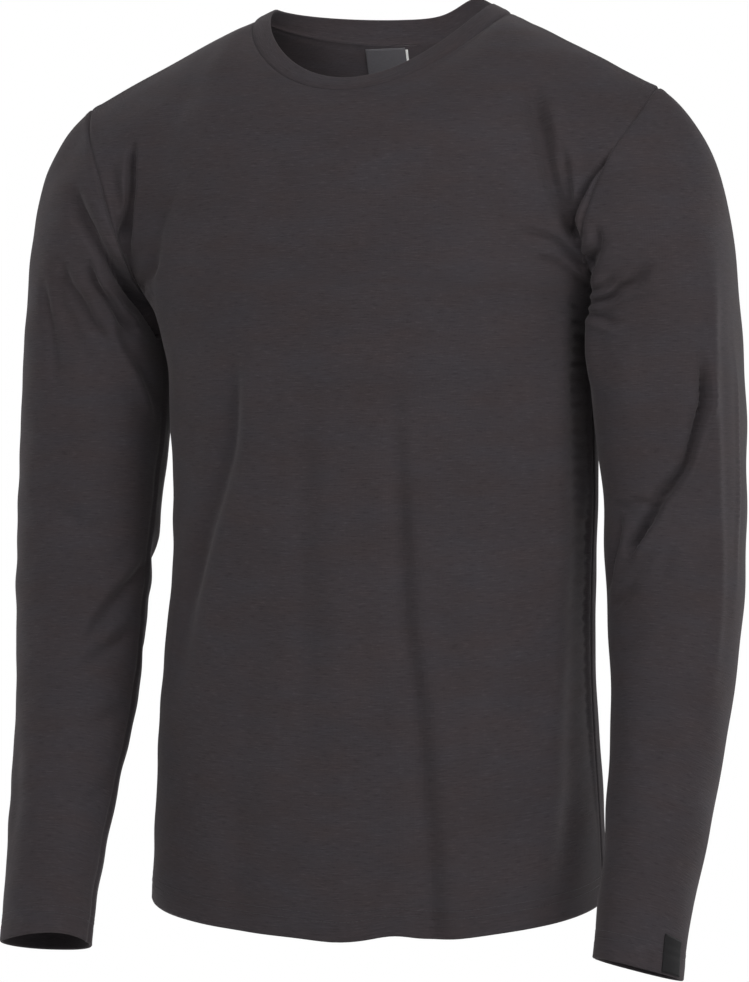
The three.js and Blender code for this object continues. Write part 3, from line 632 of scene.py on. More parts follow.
def shell(name, outer, inner, closed, flip, material, uv_grid):
    """A closed wall between two grids. Its UV map is the cloth's own, in metres."""
    height, width = outer.shape[:2]
    points = np.concatenate([outer.reshape(-1, 3), inner.reshape(-1, 3)])
    columns = width if closed else width - 1
    j, i = np.meshgrid(np.arange(height - 1), np.arange(columns), indexing="ij")

    def corner(row, column, wall):
        return wall * height * width + row * width + column % width

    def flat(row, column):
        return row * uv_grid.shape[1] + column

    # The corners of each part's faces as row, column and wall: the two walls, then their rims.
    ring = [(j, i), (j, i + 1), (j + 1, i + 1), (j + 1, i)]
    parts = [[(*place, 0) for place in ring], [(*place, 1) for place in reversed(ring)]]
    i, j = np.arange(columns), np.arange(height - 1)
    last, side = height - 1, width - 1
    parts.append([(0, i + 1, 0), (0, i, 0), (0, i, 1), (0, i + 1, 1)])
    parts.append([(last, i, 0), (last, i + 1, 0), (last, i + 1, 1), (last, i, 1)])
    if not closed:
        parts.append([(j, 0, 0), (j + 1, 0, 0), (j + 1, 0, 1), (j, 0, 1)])
        parts.append([(j + 1, side, 0), (j, side, 0), (j, side, 1), (j + 1, side, 1)])
    faces = np.concatenate([np.stack([corner(*c).ravel() for c in part], -1) for part in parts])
    maps = np.concatenate([np.stack([flat(*c[:2]).ravel() for c in part], -1) for part in parts])
    if flip:
        faces, maps = faces[:, ::-1], maps[:, ::-1]
    return mesh_object(name, points, faces, material, uv_grid.reshape(-1, 2)[maps.ravel()] * MM)


# The steepest lean that the course map follows, the least share of a normal that points ahead,
# and the steps of the table of heights.
STEEPEST, LEAST_AHEAD, HEIGHT_STEPS = 4, 0.05, 60


def cloth_uv(cloth):
    """Millimetres along the courses and the wales, from the middle and from the first row.

    Past the level row, towards the armholes and the neck, the courses stay level, as in cloth
    that is cut flat, and don't turn with the seams."""
    grid, normals = cloth.grid, normals_of(cloth.grid, cloth.closed, cloth.flip)
    if cloth.closed:
        grid = np.concatenate([grid, grid[:, :1]], 1)
        normals = np.concatenate([normals, normals[:, :1]], 1)
    u = travelled(grid, 1)
    u = u - (u.mean(axis=1, keepdims=True) if cloth.closed else u[:, len(u[0]) // 2, None])
    v = np.broadcast_to(travelled(grid, 0).mean(axis=1, keepdims=True), u.shape).copy()
    if cloth.level is None:
        return np.stack([u, v], -1)
    level = cloth.level
    if cloth.closed:
        way = unit(np.gradient(grid[level], axis=0))
        for j in range(level - 1, -1, -1):
            move, n = grid[j] - grid[j + 1], normals[j]
            course = unit(way - n * (n * way).sum(-1, keepdims=True))
            wale = np.cross(n, course)
            if j == level - 1:
                sense = -np.sign((wale * move).sum())
            u[j] = u[j + 1] + (move * course).sum(-1)
            v[j] = v[j + 1] + sense * (move * wale).sum(-1)
    else:
        ahead = np.sign(normals[..., 1]) * np.maximum(np.abs(normals[..., 1]), LEAST_AHEAD)
        lean = np.clip(-normals[..., 2] / ahead, -STEEPEST, STEEPEST)
        step = np.diff(grid, axis=1)
        level_y = step[..., 1] - (lean[:, 1:] + lean[:, :-1]) / 2 * step[..., 2]
        far = np.cumsum(np.pad(np.hypot(step[..., 0], level_y), [(0, 0), (1, 0)]), axis=1)
        u[level:] = (far - far[:, len(far[0]) // 2, None])[level:]
        height = grid[level:, :, 2]
        bins = np.linspace(height.min(), height.max() + 0.1, HEIGHT_STEPS)
        slope = np.histogram(height, bins, weights=np.hypot(1, lean[level:]))[0]
        slope /= np.maximum(np.histogram(height, bins)[0], 1)
        risen = np.concatenate([[0], np.cumsum(slope * np.diff(bins))])
        v[level:] = v[level - 1] + np.interp(height, bins, risen)
    return np.stack([u, v], -1)


ROUND_SHARE, ROUND_LEAST = 0.75, 0.02


def rounded(outer, inner, far, wall):
    """Draws the walls together towards a free edge, so that it ends in a round fold."""
    near = np.clip(far / (wall * ROUND_SHARE), ROUND_LEAST, 1)
    share = np.sqrt(1 - (1 - near) ** 2)[..., None]
    middle = (outer + inner) / 2
    return middle + (outer - middle) * share, middle + (inner - middle) * share


HEM_TURN = 22.0
NEEDLE_LINES = (15.0, 20.5)
HEM_LIFT, HEM_EDGE = 0.25, 3.0
NEEDLE_DENT, NEEDLE_WIDE = 0.35, 1.6
# The second layer inside a hem, and how fast a piece of another wall meets its neighbour's.
HEM_LAYER, HEM_LAYER_EDGE, WALL_FADE = 0.8, 1.5, 5.0


def hem_relief(far):
    """A turned-up hem stands a little proud, and its two needle lines press into it."""
    lift = HEM_LIFT * smooth_step((HEM_TURN + 1 - far) / HEM_EDGE)
    for line in NEEDLE_LINES:
        lift -= NEEDLE_DENT * np.exp(-(((far - line) / NEEDLE_WIDE) ** 2))
    return lift


def finish_cloth(cloth, name, material, free=None, folded_edge=None):
    """The shell of a cloth piece, with its free edge rounded and its hem doubled inside."""
    wall = CLOTH_WALL + (cloth.wall - CLOTH_WALL) * smooth_step(cloth.far["first"] / WALL_FADE)
    if folded_edge:
        in_hem = smooth_step((HEM_TURN - cloth.far[folded_edge]) / HEM_LAYER_EDGE)
        wall = wall + HEM_LAYER * in_hem
    outer, inner = cloth.grid, cloth.grid - cloth.normals() * wall[..., None]
    if free:
        outer, inner = rounded(outer, inner, cloth.far[free], cloth.wall)
    return shell(name, outer, inner, cloth.closed, cloth.flip, material, cloth.uv)


PANEL_EASE, SLEEVE_EASE = 60, 30
# The row from which a sleeve's courses run level.
SLEEVE_LEVEL = len(CAP_T) + 2


def make_forms():
    """All cloth pieces together, because the seams are shared."""
    made = [Cloth("neckband", stood(band_grid()), closed=True, seams=("first",), wall=BAND_WALL)]
    for name, facing in (("front", -1), ("back", 1)):
        grid = stood(relaxed(panel_grid(facing), False, PANEL_EASE))
        if name == "front":
            grid = waved(grid)
        seams = ("last", "left", "right")
        made.append(Cloth(name, grid, flip=facing > 0, seams=seams, level=len(TORSO_V)))
    for name, side in (("sleeve_left", 1), ("sleeve_right", -1)):
        grid = relaxed(sleeve_grid(side), True, SLEEVE_EASE)
        if name == "sleeve_right":
            grid = tilted(grid)
        made.append(Cloth(name, grid, True, side < 0, seams=("first",), level=SLEEVE_LEVEL))
    return {cloth.name: cloth for cloth in made}


# Folds and waves die out this near a seam, and beside the body's seams below the armholes
# further off, over a height. The lengths of the waves are the longest and the shortest.
SEAM_CALM, SIDE_CALM, SIDE_CALM_HIGH = 3, 8, 50
PANEL_WAVES, SLEEVE_WAVES = (95, 34), (70, 26)
SLEEVE_SEED = 40


def press(forms, fold_strength, wave_height):
    """Folds first, then the seams' relief, each along directions that the pieces share."""
    share_seams(forms.values())
    for name, rows in (("front", FRONT_FOLDS), ("back", BACK_FOLDS)):
        cloth = forms[name]
        free = np.minimum(np.minimum(cloth.far["left"], cloth.far["right"]), cloth.far["last"])
        below = smooth_step((UNDERARM_Z - cloth.grid[..., 2]) / SIDE_CALM_HIGH)
        calm = smooth_step(free / (SEAM_CALM + SIDE_CALM * below))
        lift = -fold_depth(rows, cloth.grid[..., [0, 2]]) * fold_strength
        lift += waves(cloth.grid, len(rows), *PANEL_WAVES, wave_height)
        cloth.move(lift * calm)
    for name, rows in (("sleeve_left", LEFT_FOLDS), ("sleeve_right", RIGHT_FOLDS)):
        cloth = forms[name]
        turn = np.broadcast_to(SLEEVE_TURNS % 360, cloth.grid.shape[:2])
        place = np.stack([turn, cloth.grid[..., 2]], -1)
        lift = -fold_depth(rows, place, MM_PER_DEGREE) * fold_strength
        lift += waves(cloth.grid, len(rows) + SLEEVE_SEED, *SLEEVE_WAVES, wave_height)
        cloth.move(lift * smooth_step(cloth.far["first"] / SEAM_CALM))
    share_seams(forms.values())
    at_neck = smooth_step((NECK_SHARE - np.abs(PANEL_U)) / NECK_BLEND + 0.5)
    for name in ("front", "back"):
        cloth = forms[name]
        lift = hem_relief(cloth.far["first"])
        dips = {"last": SEAM_DIP + (NECK_DIP - SEAM_DIP) * at_neck}
        for seam in cloth.seams:
            lift = lift + seam_relief(cloth.far[seam], dips.get(seam, SEAM_DIP))
        cloth.move(np.maximum(lift, -SEAM_DIP))
    for name in ("sleeve_left", "sleeve_right"):
        cloth = forms[name]
        underarm = np.minimum(cloth.far["left"], cloth.far["right"])
        relief = seam_relief(cloth.far["first"]) + hem_relief(cloth.far["last"])
        cloth.move(np.maximum(relief + seam_relief(underarm, UNDERARM_DIP), -SEAM_DIP))
    band = forms["neckband"]
    low, high = band.far["first"], band.far["last"]
    swell = BAND_SWELL * np.sin(np.pi * np.clip(low / (low + high), 0, 1))
    join = np.minimum(band.far["left"], band.far["right"])
    band.move(swell + seam_relief(low, NECK_DIP) + seam_relief(join, JOIN_DIP))
    share_seams(forms.values())


# Materials


def linear(hex_colour):
    """An sRGB hex value as linear red, green, blue and alpha."""
    out = []
    for shift in (16, 8, 0):
        c = (hex_colour >> shift & 255) / 255
        out.append(c / 12.92 if c <= 0.04045 else ((c + 0.055) / 1.055) ** 2.4)
    return (*out, 1.0)


def node(tree, kind, inputs=(), stops=(), **settings):
    """Adds a node with its settings. Each input gets a value, or a link from a socket.
    The stops of a ramp are (place, grey)."""
    made = tree.nodes.new(kind)
    for name, value in settings.items():
        setattr(made, name, value)
    elements = made.color_ramp.elements if stops else []
    while len(elements) < len(stops):
        elements.new(0.5)
    for element, (place, grey) in zip(elements, stops):
        element.position = place
        element.color = (grey, grey, grey, 1)
    for place, value in dict(inputs).items():
        if isinstance(value, bpy.types.NodeSocket):
            tree.links.new(value, made.inputs[place])
        else:
            made.inputs[place].default_value = value
    return made


def new_material(name):
    material = bpy.data.materials.new(name)
    material.use_nodes = True
    material.node_tree.nodes.clear()
    return material, material.node_tree


def surfaced(tree, inputs):
    """Ends a material in one surface shader."""
    surface = node(tree, "ShaderNodeBsdfPrincipled", inputs)
    node(tree, "ShaderNodeOutputMaterial", {"Surface": surface.outputs[0]})


def streaks(tree, uv, long_mm, thick_mm, detail, seed):
    """Noise drawn out along the courses, to a real length and thickness."""
    size = (1 / (long_mm * MM), 1 / (thick_mm * MM), 1)
    place = {"Vector": uv, "Location": (seed, seed * 0.7, 0), "Scale": size}
    scaled = node(tree, "ShaderNodeMapping", place).outputs[0]
    noise = {"Vector": scaled, "Scale": 1.0, "Detail": detail, "Roughness": 0.55}
    return node(tree, "ShaderNodeTexNoise", noise, noise_dimensions="2D").outputs[0]


def ridges(tree, along, apart_mm):
    """Even ridges across one way of the cloth."""
    inputs = {0: along, 1: 2 * math.pi / (apart_mm * MM)}
    turns = node(tree, "ShaderNodeMath", inputs, operation="MULTIPLY").outputs[0]
    return node(tree, "ShaderNodeMath", {0: turns}, operation="SINE").outputs[0]


def shaded(tree, colour, source, *stops):
    """A colour made darker and lighter. The stops are (place, step from middle grey)."""
    greys = [(place, 0.5 + step) for place, step in stops]
    shade = node(tree, "ShaderNodeValToRGB", {0: source}, greys).outputs[0]
    inputs = {0: 1.0, 6: colour, 7: shade}
    return node(tree, "ShaderNodeMix", inputs, data_type="RGBA", blend_type="OVERLAY").outputs[2]


def added(tree, *terms):
    """The sum of sockets, each times its own weight."""
    total = 0.0
    for source, weight in terms:
        inputs = {0: source, 1: weight}
        part = node(tree, "ShaderNodeMath", inputs, operation="MULTIPLY").outputs[0]
        total = node(tree, "ShaderNodeMath", {0: total, 1: part}, operation="ADD").outputs[0]
    return total


# The long streaks and the flecks as shares of the streak depth, and the clouds' own depth.
BROAD_SHARE, FLECK_SHARE, CLOUD_STEP = 0.25, 0.2, 0.02
# How much the wales, the courses, the hairs and the uneven yarn raise the knit's surface.
WALE_LIFT, COURSE_LIFT, HAIR_LIFT, YARN_LIFT = 0.5, 0.3, 1.6, 2.4
COURSES_PER_WALE = 1.3


def jersey(name, settings, wale_mm):
    """Fine single jersey of worsted merino: matt and slightly hairy, with uneven yarn that shows
    as short lighter and darker streaks along the courses. The wales of the real cloth are about
    0.6 mm apart and drawn a little coarser, because finer ones vanish between the pixels."""
    material, tree = new_material(name)
    uv = node(tree, "ShaderNodeUVMap", uv_map="cloth").outputs[0]
    short = streaks(tree, uv, settings.streak_long, 1.0, 1.0, 3.1)
    long = streaks(tree, uv, settings.streak_long * 3, 1.3, 2.0, 11.7)
    fleck = streaks(tree, uv, 1.6, 0.9, 2.0, 23.0)
    cloud = streaks(tree, uv, 70, 46, 2.0, 5.0)
    drift = streaks(tree, uv, 60, 22, 3.0, 41.0)
    warm = node(tree, "ShaderNodeValToRGB", {0: drift}, ((0.25, 0.0), (0.75, 1.0))).outputs[0]
    inputs = {0: warm, 6: (*settings.cool_colour, 1), 7: (*settings.warm_colour, 1)}
    ground = node(tree, "ShaderNodeMix", inputs, data_type="RGBA", blend_type="MIX").outputs[2]
    deep = settings.streak_depth
    ground = shaded(tree, ground, short, (0.25, -deep), (0.37, 0), (0.63, 0), (0.75, deep))
    for source, step in (
        (long, deep * BROAD_SHARE),
        (fleck, deep * FLECK_SHARE),
        (cloud, CLOUD_STEP),
    ):
        ground = shaded(tree, ground, source, (0.3, -step), (0.7, step))

    parts = node(tree, "ShaderNodeSeparateXYZ", {0: uv}).outputs
    uneven = added(
        tree,
        (ridges(tree, parts[0], wale_mm), WALE_LIFT),
        (ridges(tree, parts[1], wale_mm / COURSES_PER_WALE), COURSE_LIFT),
        (fleck, HAIR_LIFT),
        (short, YARN_LIFT),
    )
    bump = node(
        tree, "ShaderNodeBump", {"Height": uneven, "Strength": 0.55, "Distance": 0.12 * MM}
    )
    surfaced(
        tree,
        {
            "Base Color": ground,
            "Normal": bump.outputs[0],
            "Roughness": 0.92,
            "Specular IOR Level": 0.25,
            "Sheen Weight": settings.sheen,
            "Sheen Roughness": 0.45,
            "Sheen Tint": linear(0xB8B2B4),
        },
    )
    return material


WEFTS_PER_WARP = 0.8


def woven_label(name, colour, thread_mm, roughness, sheen):
    """Woven polyester tape: a tight even weave with a slight satin gloss."""
    material, tree = new_material(name)
    uv = node(tree, "ShaderNodeUVMap", uv_map="cloth").outputs[0]
    parts = node(tree, "ShaderNodeSeparateXYZ", {0: uv}).outputs
    warp = ridges(tree, parts[0], thread_mm)
    weft = ridges(tree, parts[1], thread_mm / WEFTS_PER_WARP)
    inputs = {0: warp, 1: weft}
    weave = node(tree, "ShaderNodeMath", inputs, operation="MULTIPLY").outputs[0]
    fine = streaks(tree, uv, 3.0, 0.5, 2.0, 8.0)
    bump = node(tree, "ShaderNodeBump", {"Height": weave, "Strength": 0.4, "Distance": 0.08 * MM})
    surfaced(
        tree,
        {
            "Base Color": shaded(tree, linear(colour), fine, (0.3, -0.04), (0.7, 0.04)),
            "Normal": bump.outputs[0],
            "Roughness": roughness,
            "Specular IOR Level": 0.25,
            "Sheen Weight": sheen,
        },
    )
    return material


def thread_material(name, colour, twist_mm):
    """Spun polyester sewing thread, twisted, with a soft gloss."""
    material, tree = new_material(name)
    place = node(tree, "ShaderNodeTexCoord").outputs["Object"]
    noise = {"Vector": place, "Scale": 1 / (twist_mm * MM), "Detail": 2.0}
    twist = node(tree, "ShaderNodeTexNoise", noise).outputs[0]
    spun = shaded(tree, linear(colour), twist, (0.3, -0.1), (0.7, 0.1))
    surfaced(tree, {"Base Color": spun, "Roughness": 0.6, "Sheen Weight": 0.2})
    return material


MATERIALS = {}


def materials():
    """The finishes, made once."""
    if not MATERIALS:
        settings = bpy.context.scene.base_layer_cloth
        MATERIALS["knit"] = jersey("merino_jersey", settings, 1.0)
        MATERIALS["band"] = jersey("merino_jersey_band", settings, 1.0)
        MATERIALS["size"] = woven_label("slate_satin_label", 0x504E52, 0.7, 0.5, 0.3)
        MATERIALS["care"] = woven_label("white_tape_label", 0xE6E6E4, 0.6, 0.7, 0.1)
        MATERIALS["cuff"] = woven_label("black_woven_label", 0x1C1B1D, 0.7, 0.7, 0.02)
        MATERIALS["thread"] = thread_material("charcoal_thread", 0x4A464A, 0.8)
    return MATERIALS


# Pieces

FORMS = {}


def forms():
    if not FORMS:
        settings = bpy.context.scene.base_layer_cloth
        FORMS.update(make_forms())
        press(FORMS, settings.fold_strength, settings.unevenness / MM)
    return FORMS


def settle(piece, node_name):
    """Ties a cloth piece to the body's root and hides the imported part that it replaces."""
    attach(piece, "root")
    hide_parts(node_name)


# The search for a place on the back panel: its first height, its steps and their number.
SEEK_FROM, SEEK_STEP, SEEK_ROUNDS, SEEK_NEAR = 0.9, 0.003, 40, 0.003


def place_on_back(x, z):
    """The back panel's place at each x and z near the neck, with its inward direction."""

    def point(u, rise):
        return yoke(u.ravel(), rise.reshape(-1, 1), 1).reshape(*u.shape, 3)

    u, rise = np.zeros_like(x), np.full_like(x, SEEK_FROM)
    here = point(u, rise)
    for _ in range(SEEK_ROUNDS):
        u = u + (x - here[..., 0]) * SEEK_STEP
        rise = rise + (z - here[..., 2]) * SEEK_STEP
        here = point(u, rise)
    across, up = point(u + SEEK_NEAR, rise) - here, point(u, rise + SEEK_NEAR) - here
    return here, unit(np.cross(across, up))


LABEL_COLUMNS, LABEL_ROWS = 25, 27
# A label bows out in the middle, kicks out at its lower end and curls in at its sides.
LABEL_BOW, LABEL_KICK, LABEL_CURL, LABEL_END = 0.66, 0.9, 0.35, 0.2


def hung_label(name, material, x_from, x_to, top, drop, lift, wall):
    """A label sewn into the back neck seam that hangs inside against the panel."""
    x, fall = np.linspace(x_from, x_to, LABEL_COLUMNS), np.linspace(0, 1, LABEL_ROWS)
    across, down = np.meshgrid(x, fall)
    here, inward = place_on_back(across, top - drop * down)
    aside = (across - (x_to + x_from) / 2) / ((x_to - x_from) / 2)
    bow = lift + LABEL_BOW * np.sin(np.pi * down) + LABEL_KICK * down**2 - LABEL_CURL * aside**2
    inner = here + inward * (CLOTH_WALL + bow)[..., None]
    outer = inner + inward * wall
    outer, inner = rounded(outer, inner, travelled(outer, 0, True) + LABEL_END, wall)
    uv = np.stack([across, -drop * down], -1)
    return shell(name, outer, inner, False, True, material, uv)


# The cuff label: degrees round the sleeve, distances from its edge, points and lift.
CUFF_TAB = dict(turns=(14.5, 45.5), low=1.0, high=28.0, across=13, along=19, off=(0.3, 0.95))


def cuff_label(name, material):
    """The small woven label sewn flat on the front of the left cuff, down to its edge."""
    cloth, tab = forms()["sleeve_left"], CUFF_TAB
    columns = np.interp(
        np.linspace(*tab["turns"], tab["across"]), SLEEVE_TURNS, np.arange(len(SLEEVE_TURNS))
    )
    middle = int(columns[tab["across"] // 2])
    away = cloth.far["last"][::-1, middle]
    up = np.interp(np.linspace(tab["high"], tab["low"], tab["along"]), away, np.arange(len(away)))
    rows = len(away) - 1 - up
    i, di = np.divmod(columns, 1)
    j, dj = np.divmod(np.minimum(rows, len(away) - 1.001), 1)
    i, j, di, dj = i.astype(int), j.astype(int)[:, None], di[:, None], dj[:, None, None]

    def at(field):
        top = field[j, i] * (1 - di) + field[j, i + 1] * di
        bottom = field[j + 1, i] * (1 - di) + field[j + 1, i + 1] * di
        return top * (1 - dj) + bottom * dj

    point, out = at(cloth.grid), unit(at(cloth.normals()))
    inner, outer = (point + out * off for off in tab["off"])
    uv = np.stack([travelled(point, 1), travelled(point, 0)], -1)
    return shell(name, outer, inner, False, False, material, uv)


# One stitch: its length, its step along the line and its lift, and its thread.
STITCH_LONG, STITCH_STEP, STITCH_LIFT = 2.5, 3.1, 0.05
THREAD, THREAD_BEVEL = 0.42, 0.14


def line_at(cloth, edge, far):
    """Points on a cloth at one distance from an edge, with their normals."""
    away = cloth.far[edge]
    grid, normals = cloth.grid, cloth.normals()
    if edge == "last":
        away, grid, normals = away[::-1], grid[::-1], normals[::-1]
    row = np.argmax(away > far, axis=0)
    i = np.arange(grid.shape[1])
    before, after = away[row - 1, i], away[row, i]
    share = ((far - before) / (after - before))[:, None]
    point = grid[row - 1, i] * (1 - share) + grid[row, i] * share
    return point + normals[row, i] * STITCH_LIFT


def stitch_rows(name, lines):
    """Rows of needle stitches: one stitch, repeated along each line."""
    rows = []
    for line in lines:
        curve = bpy.data.curves.new(f"{name}_line", "CURVE")
        curve.dimensions = "3D"
        curve.twist_mode = "Z_UP"
        spline = curve.splines.new("POLY")
        spline.points.add(len(line) - 1)
        spline.points.foreach_set("co", np.column_stack([line * MM, np.ones(len(line))]).ravel())
        path = bpy.data.objects.new(f"{name}_line", curve)
        bpy.context.scene.collection.objects.link(path)
        bpy.ops.object.select_all(action="DESELECT")
        bpy.ops.mesh.primitive_cylinder_add(
            vertices=6,
            radius=THREAD / 2 * MM,
            depth=STITCH_LONG * MM,
            location=(STITCH_LONG / 2 * MM, 0, 0),
            rotation=(0, math.pi / 2, 0),
        )
        stitch = bpy.context.object
        bpy.ops.object.transform_apply(location=True, rotation=True, scale=True)
        bpy.ops.object.mode_set(mode="EDIT")
        bpy.ops.mesh.select_all(action="SELECT")
        bpy.ops.mesh.bevel(offset=THREAD_BEVEL * MM, segments=1)
        bpy.ops.object.mode_set(mode="OBJECT")
        array = stitch.modifiers.new("repeat", "ARRAY")
        array.fit_type = "FIT_CURVE"
        array.curve = path
        array.use_relative_offset = False
        array.use_constant_offset = True
        array.constant_offset_displace = (STITCH_STEP * MM, 0, 0)
        bend = stitch.modifiers.new("follow", "CURVE")
        bend.object = path
        bpy.ops.object.modifier_apply(modifier="repeat")
        bpy.ops.object.modifier_apply(modifier="follow")
        bpy.data.objects.remove(path)
        rows.append(stitch)
    bpy.ops.object.select_all(action="DESELECT")
    for row in rows:
        row.select_set(True)
    bpy.context.view_layer.objects.active = rows[0]
    if len(rows) > 1:
        bpy.ops.object.join()
    piece = bpy.context.object
    piece.name = piece.data.name = name
    piece.data.materials.clear()
    piece.data.materials.append(materials()["thread"])
    bpy.ops.object.shade_smooth_by_angle(angle=math.radians(50))
    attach(piece, "root")


class BaseLayerCloth(bpy.types.PropertyGroup):
    """The cloth of the top."""

    cool_colour: FloatVectorProperty(
        name="Cool colour",
        description="The bluer of the two charcoals that the yarn varies between",
        subtype="COLOR",
        size=3, min=0, max=1, default=linear(0x3F3B3F)[:3],
    )
    warm_colour: FloatVectorProperty(
        name="Warm colour",
        description="The browner of the two charcoals that the yarn varies between",
        subtype="COLOR",
        size=3, min=0, max=1, default=linear(0x40393B)[:3],
    )
    streak_long: FloatProperty(
        name="Streak length",
        description="Usual length of the yarn's lighter and darker stretches, in millimetres",
        default=8.0, min=2.0, max=60.0,
    )
    streak_depth: FloatProperty(
        name="Streak depth",
        description="How far the streaks are lighter or darker than the ground",
        subtype="FACTOR",
        default=0.11, min=0.0, max=0.4,
    )
    sheen: FloatProperty(
        name="Sheen",
        description="The soft light that the fine hairs catch at the edges",
        subtype="FACTOR",
        default=0.25, min=0.0, max=1.0,
    )
    fold_strength: FloatProperty(
        name="Fold strength",
        description="How deep the folds are, where 1 is as worn",
        default=1.0, min=0.0, max=2.0,
    )
    unevenness: FloatProperty(
        name="Unevenness",
        description="Height of the slight waves all over the worn cloth",
        subtype="DISTANCE", unit="LENGTH",
        default=0.35 * MM, min=0.0, max=3 * MM,
    )


class BaseLayerStudio(bpy.types.PropertyGroup):
    """The studio round the top."""

    floor_drop: FloatProperty(
        name="Floor",
        description="How far the floor is below the wearer's shoulders",
        subtype="DISTANCE", unit="LENGTH",
        default=1.45, min=0.8, max=3.0,
    )
    camera_turn: FloatProperty(
        name="Camera turn",
        description="How far the camera stands round to the wearer's left of straight ahead",
        subtype="ANGLE", unit="ROTATION",
        default=math.radians(18),
    )
    camera_away: FloatProperty(
        name="Camera distance",
        description="Distance from the camera to the middle of the top",
        subtype="DISTANCE", unit="LENGTH",
        default=2.6, min=1.0, max=10.0,
    )
    light: FloatProperty(
        name="Studio light",
        description="Power of all the soft lights together, where 1 is as in the photograph",
        default=1.0, min=0.0, max=10.0,
    )
    fill: FloatProperty(
        name="Room light",
        description="Brightness of the even light from all round",
        default=0.07, min=0.0, max=3.0,
    )


# The lens in millimetres, and the place that the camera looks at: metres to its right and up.
LENS, LOOKED_AT = 122.96, (-0.0022, -0.372)
FLOOR_RADIUS = 4.0
# Soft lights: metres to the camera's right, towards the camera and up, the side and the watts.
LIGHTS = {
    "right": (1.7, 1.9, 0.7, 1.2, 12.5),
    "front_right": (0.9, 2.2, 1.0, 1.2, 8),
    "front_left": (-0.9, 2.2, 1.0, 1.2, 10),
    "front": (0, 2.4, 1.0, 1.2, 6.5),
    "right_high": (1.6, 1.4, 1.5, 1.2, 8.5),
    "left_high": (-1.6, 1.4, 1.5, 1.2, 9),
    "left_behind": (-2.2, -1.2, 0.4, 1.2, 17),
    "right_behind": (2.2, -1.2, 0.4, 1.2, 20),
    "above_behind": (0, -1.3, 1.9, 1.2, 6),
    "behind": (0, -2.6, 0.5, 1.2, 24),
}
# A small light in the neck opening for the inside of the back, laid out as the ones above.
NECK_LIGHTS = {"inside_neck": (0, 0.1, 0.005, 0.08, 0.045)}
NECK_MIDDLE = (0.0, 0.06, -0.055)


class BASELAYER_OT_panels(bpy.types.Operator):
    """Make the front and back panels"""

    bl_idname = "base_layer.panels"
    bl_label = "Front and back panels"

    def execute(self, context):
        knit = materials()["knit"]
        for name, long in (("front", 0.72), ("back", 0.76)):
            cloth = forms()[name]
            piece = finish_cloth(cloth, f"{name}_panel", knit, "first", "first")
            settle(piece, name)
        return {"FINISHED"}


class BASELAYER_OT_sleeves(bpy.types.Operator):
    """Make the two sleeves"""

    bl_idname = "base_layer.sleeves"
    bl_label = "Sleeves"

    def execute(self, context):
        knit = materials()["knit"]
        for side in ("left", "right"):
            cloth = forms()[f"sleeve_{side}"]
            piece = finish_cloth(cloth, f"{side}_sleeve", knit, "last", "last")
            settle(piece, cloth.name)
        return {"FINISHED"}


class BASELAYER_OT_neckband(bpy.types.Operator):
    """Make the folded neckband"""

    bl_idname = "base_layer.neckband"
    bl_label = "Neckband"

    def execute(self, context):
        cloth = forms()["neckband"]
        piece = finish_cloth(cloth, "folded_neckband", materials()["band"], "last")
        settle(piece, "neckband")
        return {"FINISHED"}


class BASELAYER_OT_labels(bpy.types.Operator):
    """Make the bare neck, care and cuff labels"""

    bl_idname = "base_layer.labels"
    bl_label = "Labels"

    def execute(self, context):
        made = materials()
        size = hung_label("size_label", made["size"], -31, 2, -18.6, 34, 2.6, 0.7)
        settle(size, "neck_label")
        care = hung_label("care_tag", made["care"], -22, 3.6, -20.5, 16, 1.1, 0.5)
        settle(care, "care_label")
        cuff = cuff_label("cuff_tab", made["cuff"])
        settle(cuff, "cuff_label")
        return {"FINISHED"}


class BASELAYER_OT_stitching(bpy.types.Operator):
    """Make the coverstitch round the hem and the cuffs"""

    bl_idname = "base_layer.stitching"
    bl_label = "Stitching"

    def execute(self, context):
        made = forms()
        for far, name in zip(NEEDLE_LINES, ("lower", "upper")):
            lines = [line_at(made[panel], "first", far) for panel in ("front", "back")]
            lines[1] = lines[1][::-1]
            stitch_rows(f"hem_stitches_{name}", lines)
        for side in ("left", "right"):
            rings = [line_at(made[f"sleeve_{side}"], "last", far) for far in NEEDLE_LINES]
            rings = [np.concatenate([ring, ring[:1]]) for ring in rings]
            stitch_rows(f"cuff_stitches_{side}", rings)
        return {"FINISHED"}


def add_floor(drop):
    bpy.ops.object.select_all(action="DESELECT")
    bpy.ops.mesh.primitive_circle_add(
        vertices=96, radius=FLOOR_RADIUS, fill_type="NGON", location=(0, 0, -drop)
    )
    floor = bpy.context.object
    floor.name = floor.data.name = "floor"
    bpy.ops.object.transform_apply(location=True)
    material, tree = new_material("pale_floor")
    pale = linear(0xF4F4F3)
    surfaced(tree, {"Base Color": pale, "Roughness": 0.9, "Specular IOR Level": 0.1})
    floor.data.materials.append(material)


def add_camera(scene, place, turn):
    data = bpy.data.cameras.new("camera")
    data.lens = LENS
    data.sensor_width = 36
    data.sensor_fit = "AUTO"
    data.clip_end = 40
    camera = bpy.data.objects.new("camera", data)
    camera.location = place
    camera.rotation_euler = (math.pi / 2, 0, turn)
    scene.collection.objects.link(camera)
    scene.camera = camera


def add_light(scene, name, aim, place, wide, watts):
    """A soft light at a place counted from what it is aimed at."""
    data = bpy.data.lights.new(name, "AREA")
    data.energy = watts
    data.size = wide
    light = bpy.data.objects.new(name, data)
    light.location = aim + place
    light.rotation_euler = (-place).to_track_quat("-Z", "Y").to_euler()
    light.visible_camera = False
    scene.collection.objects.link(light)


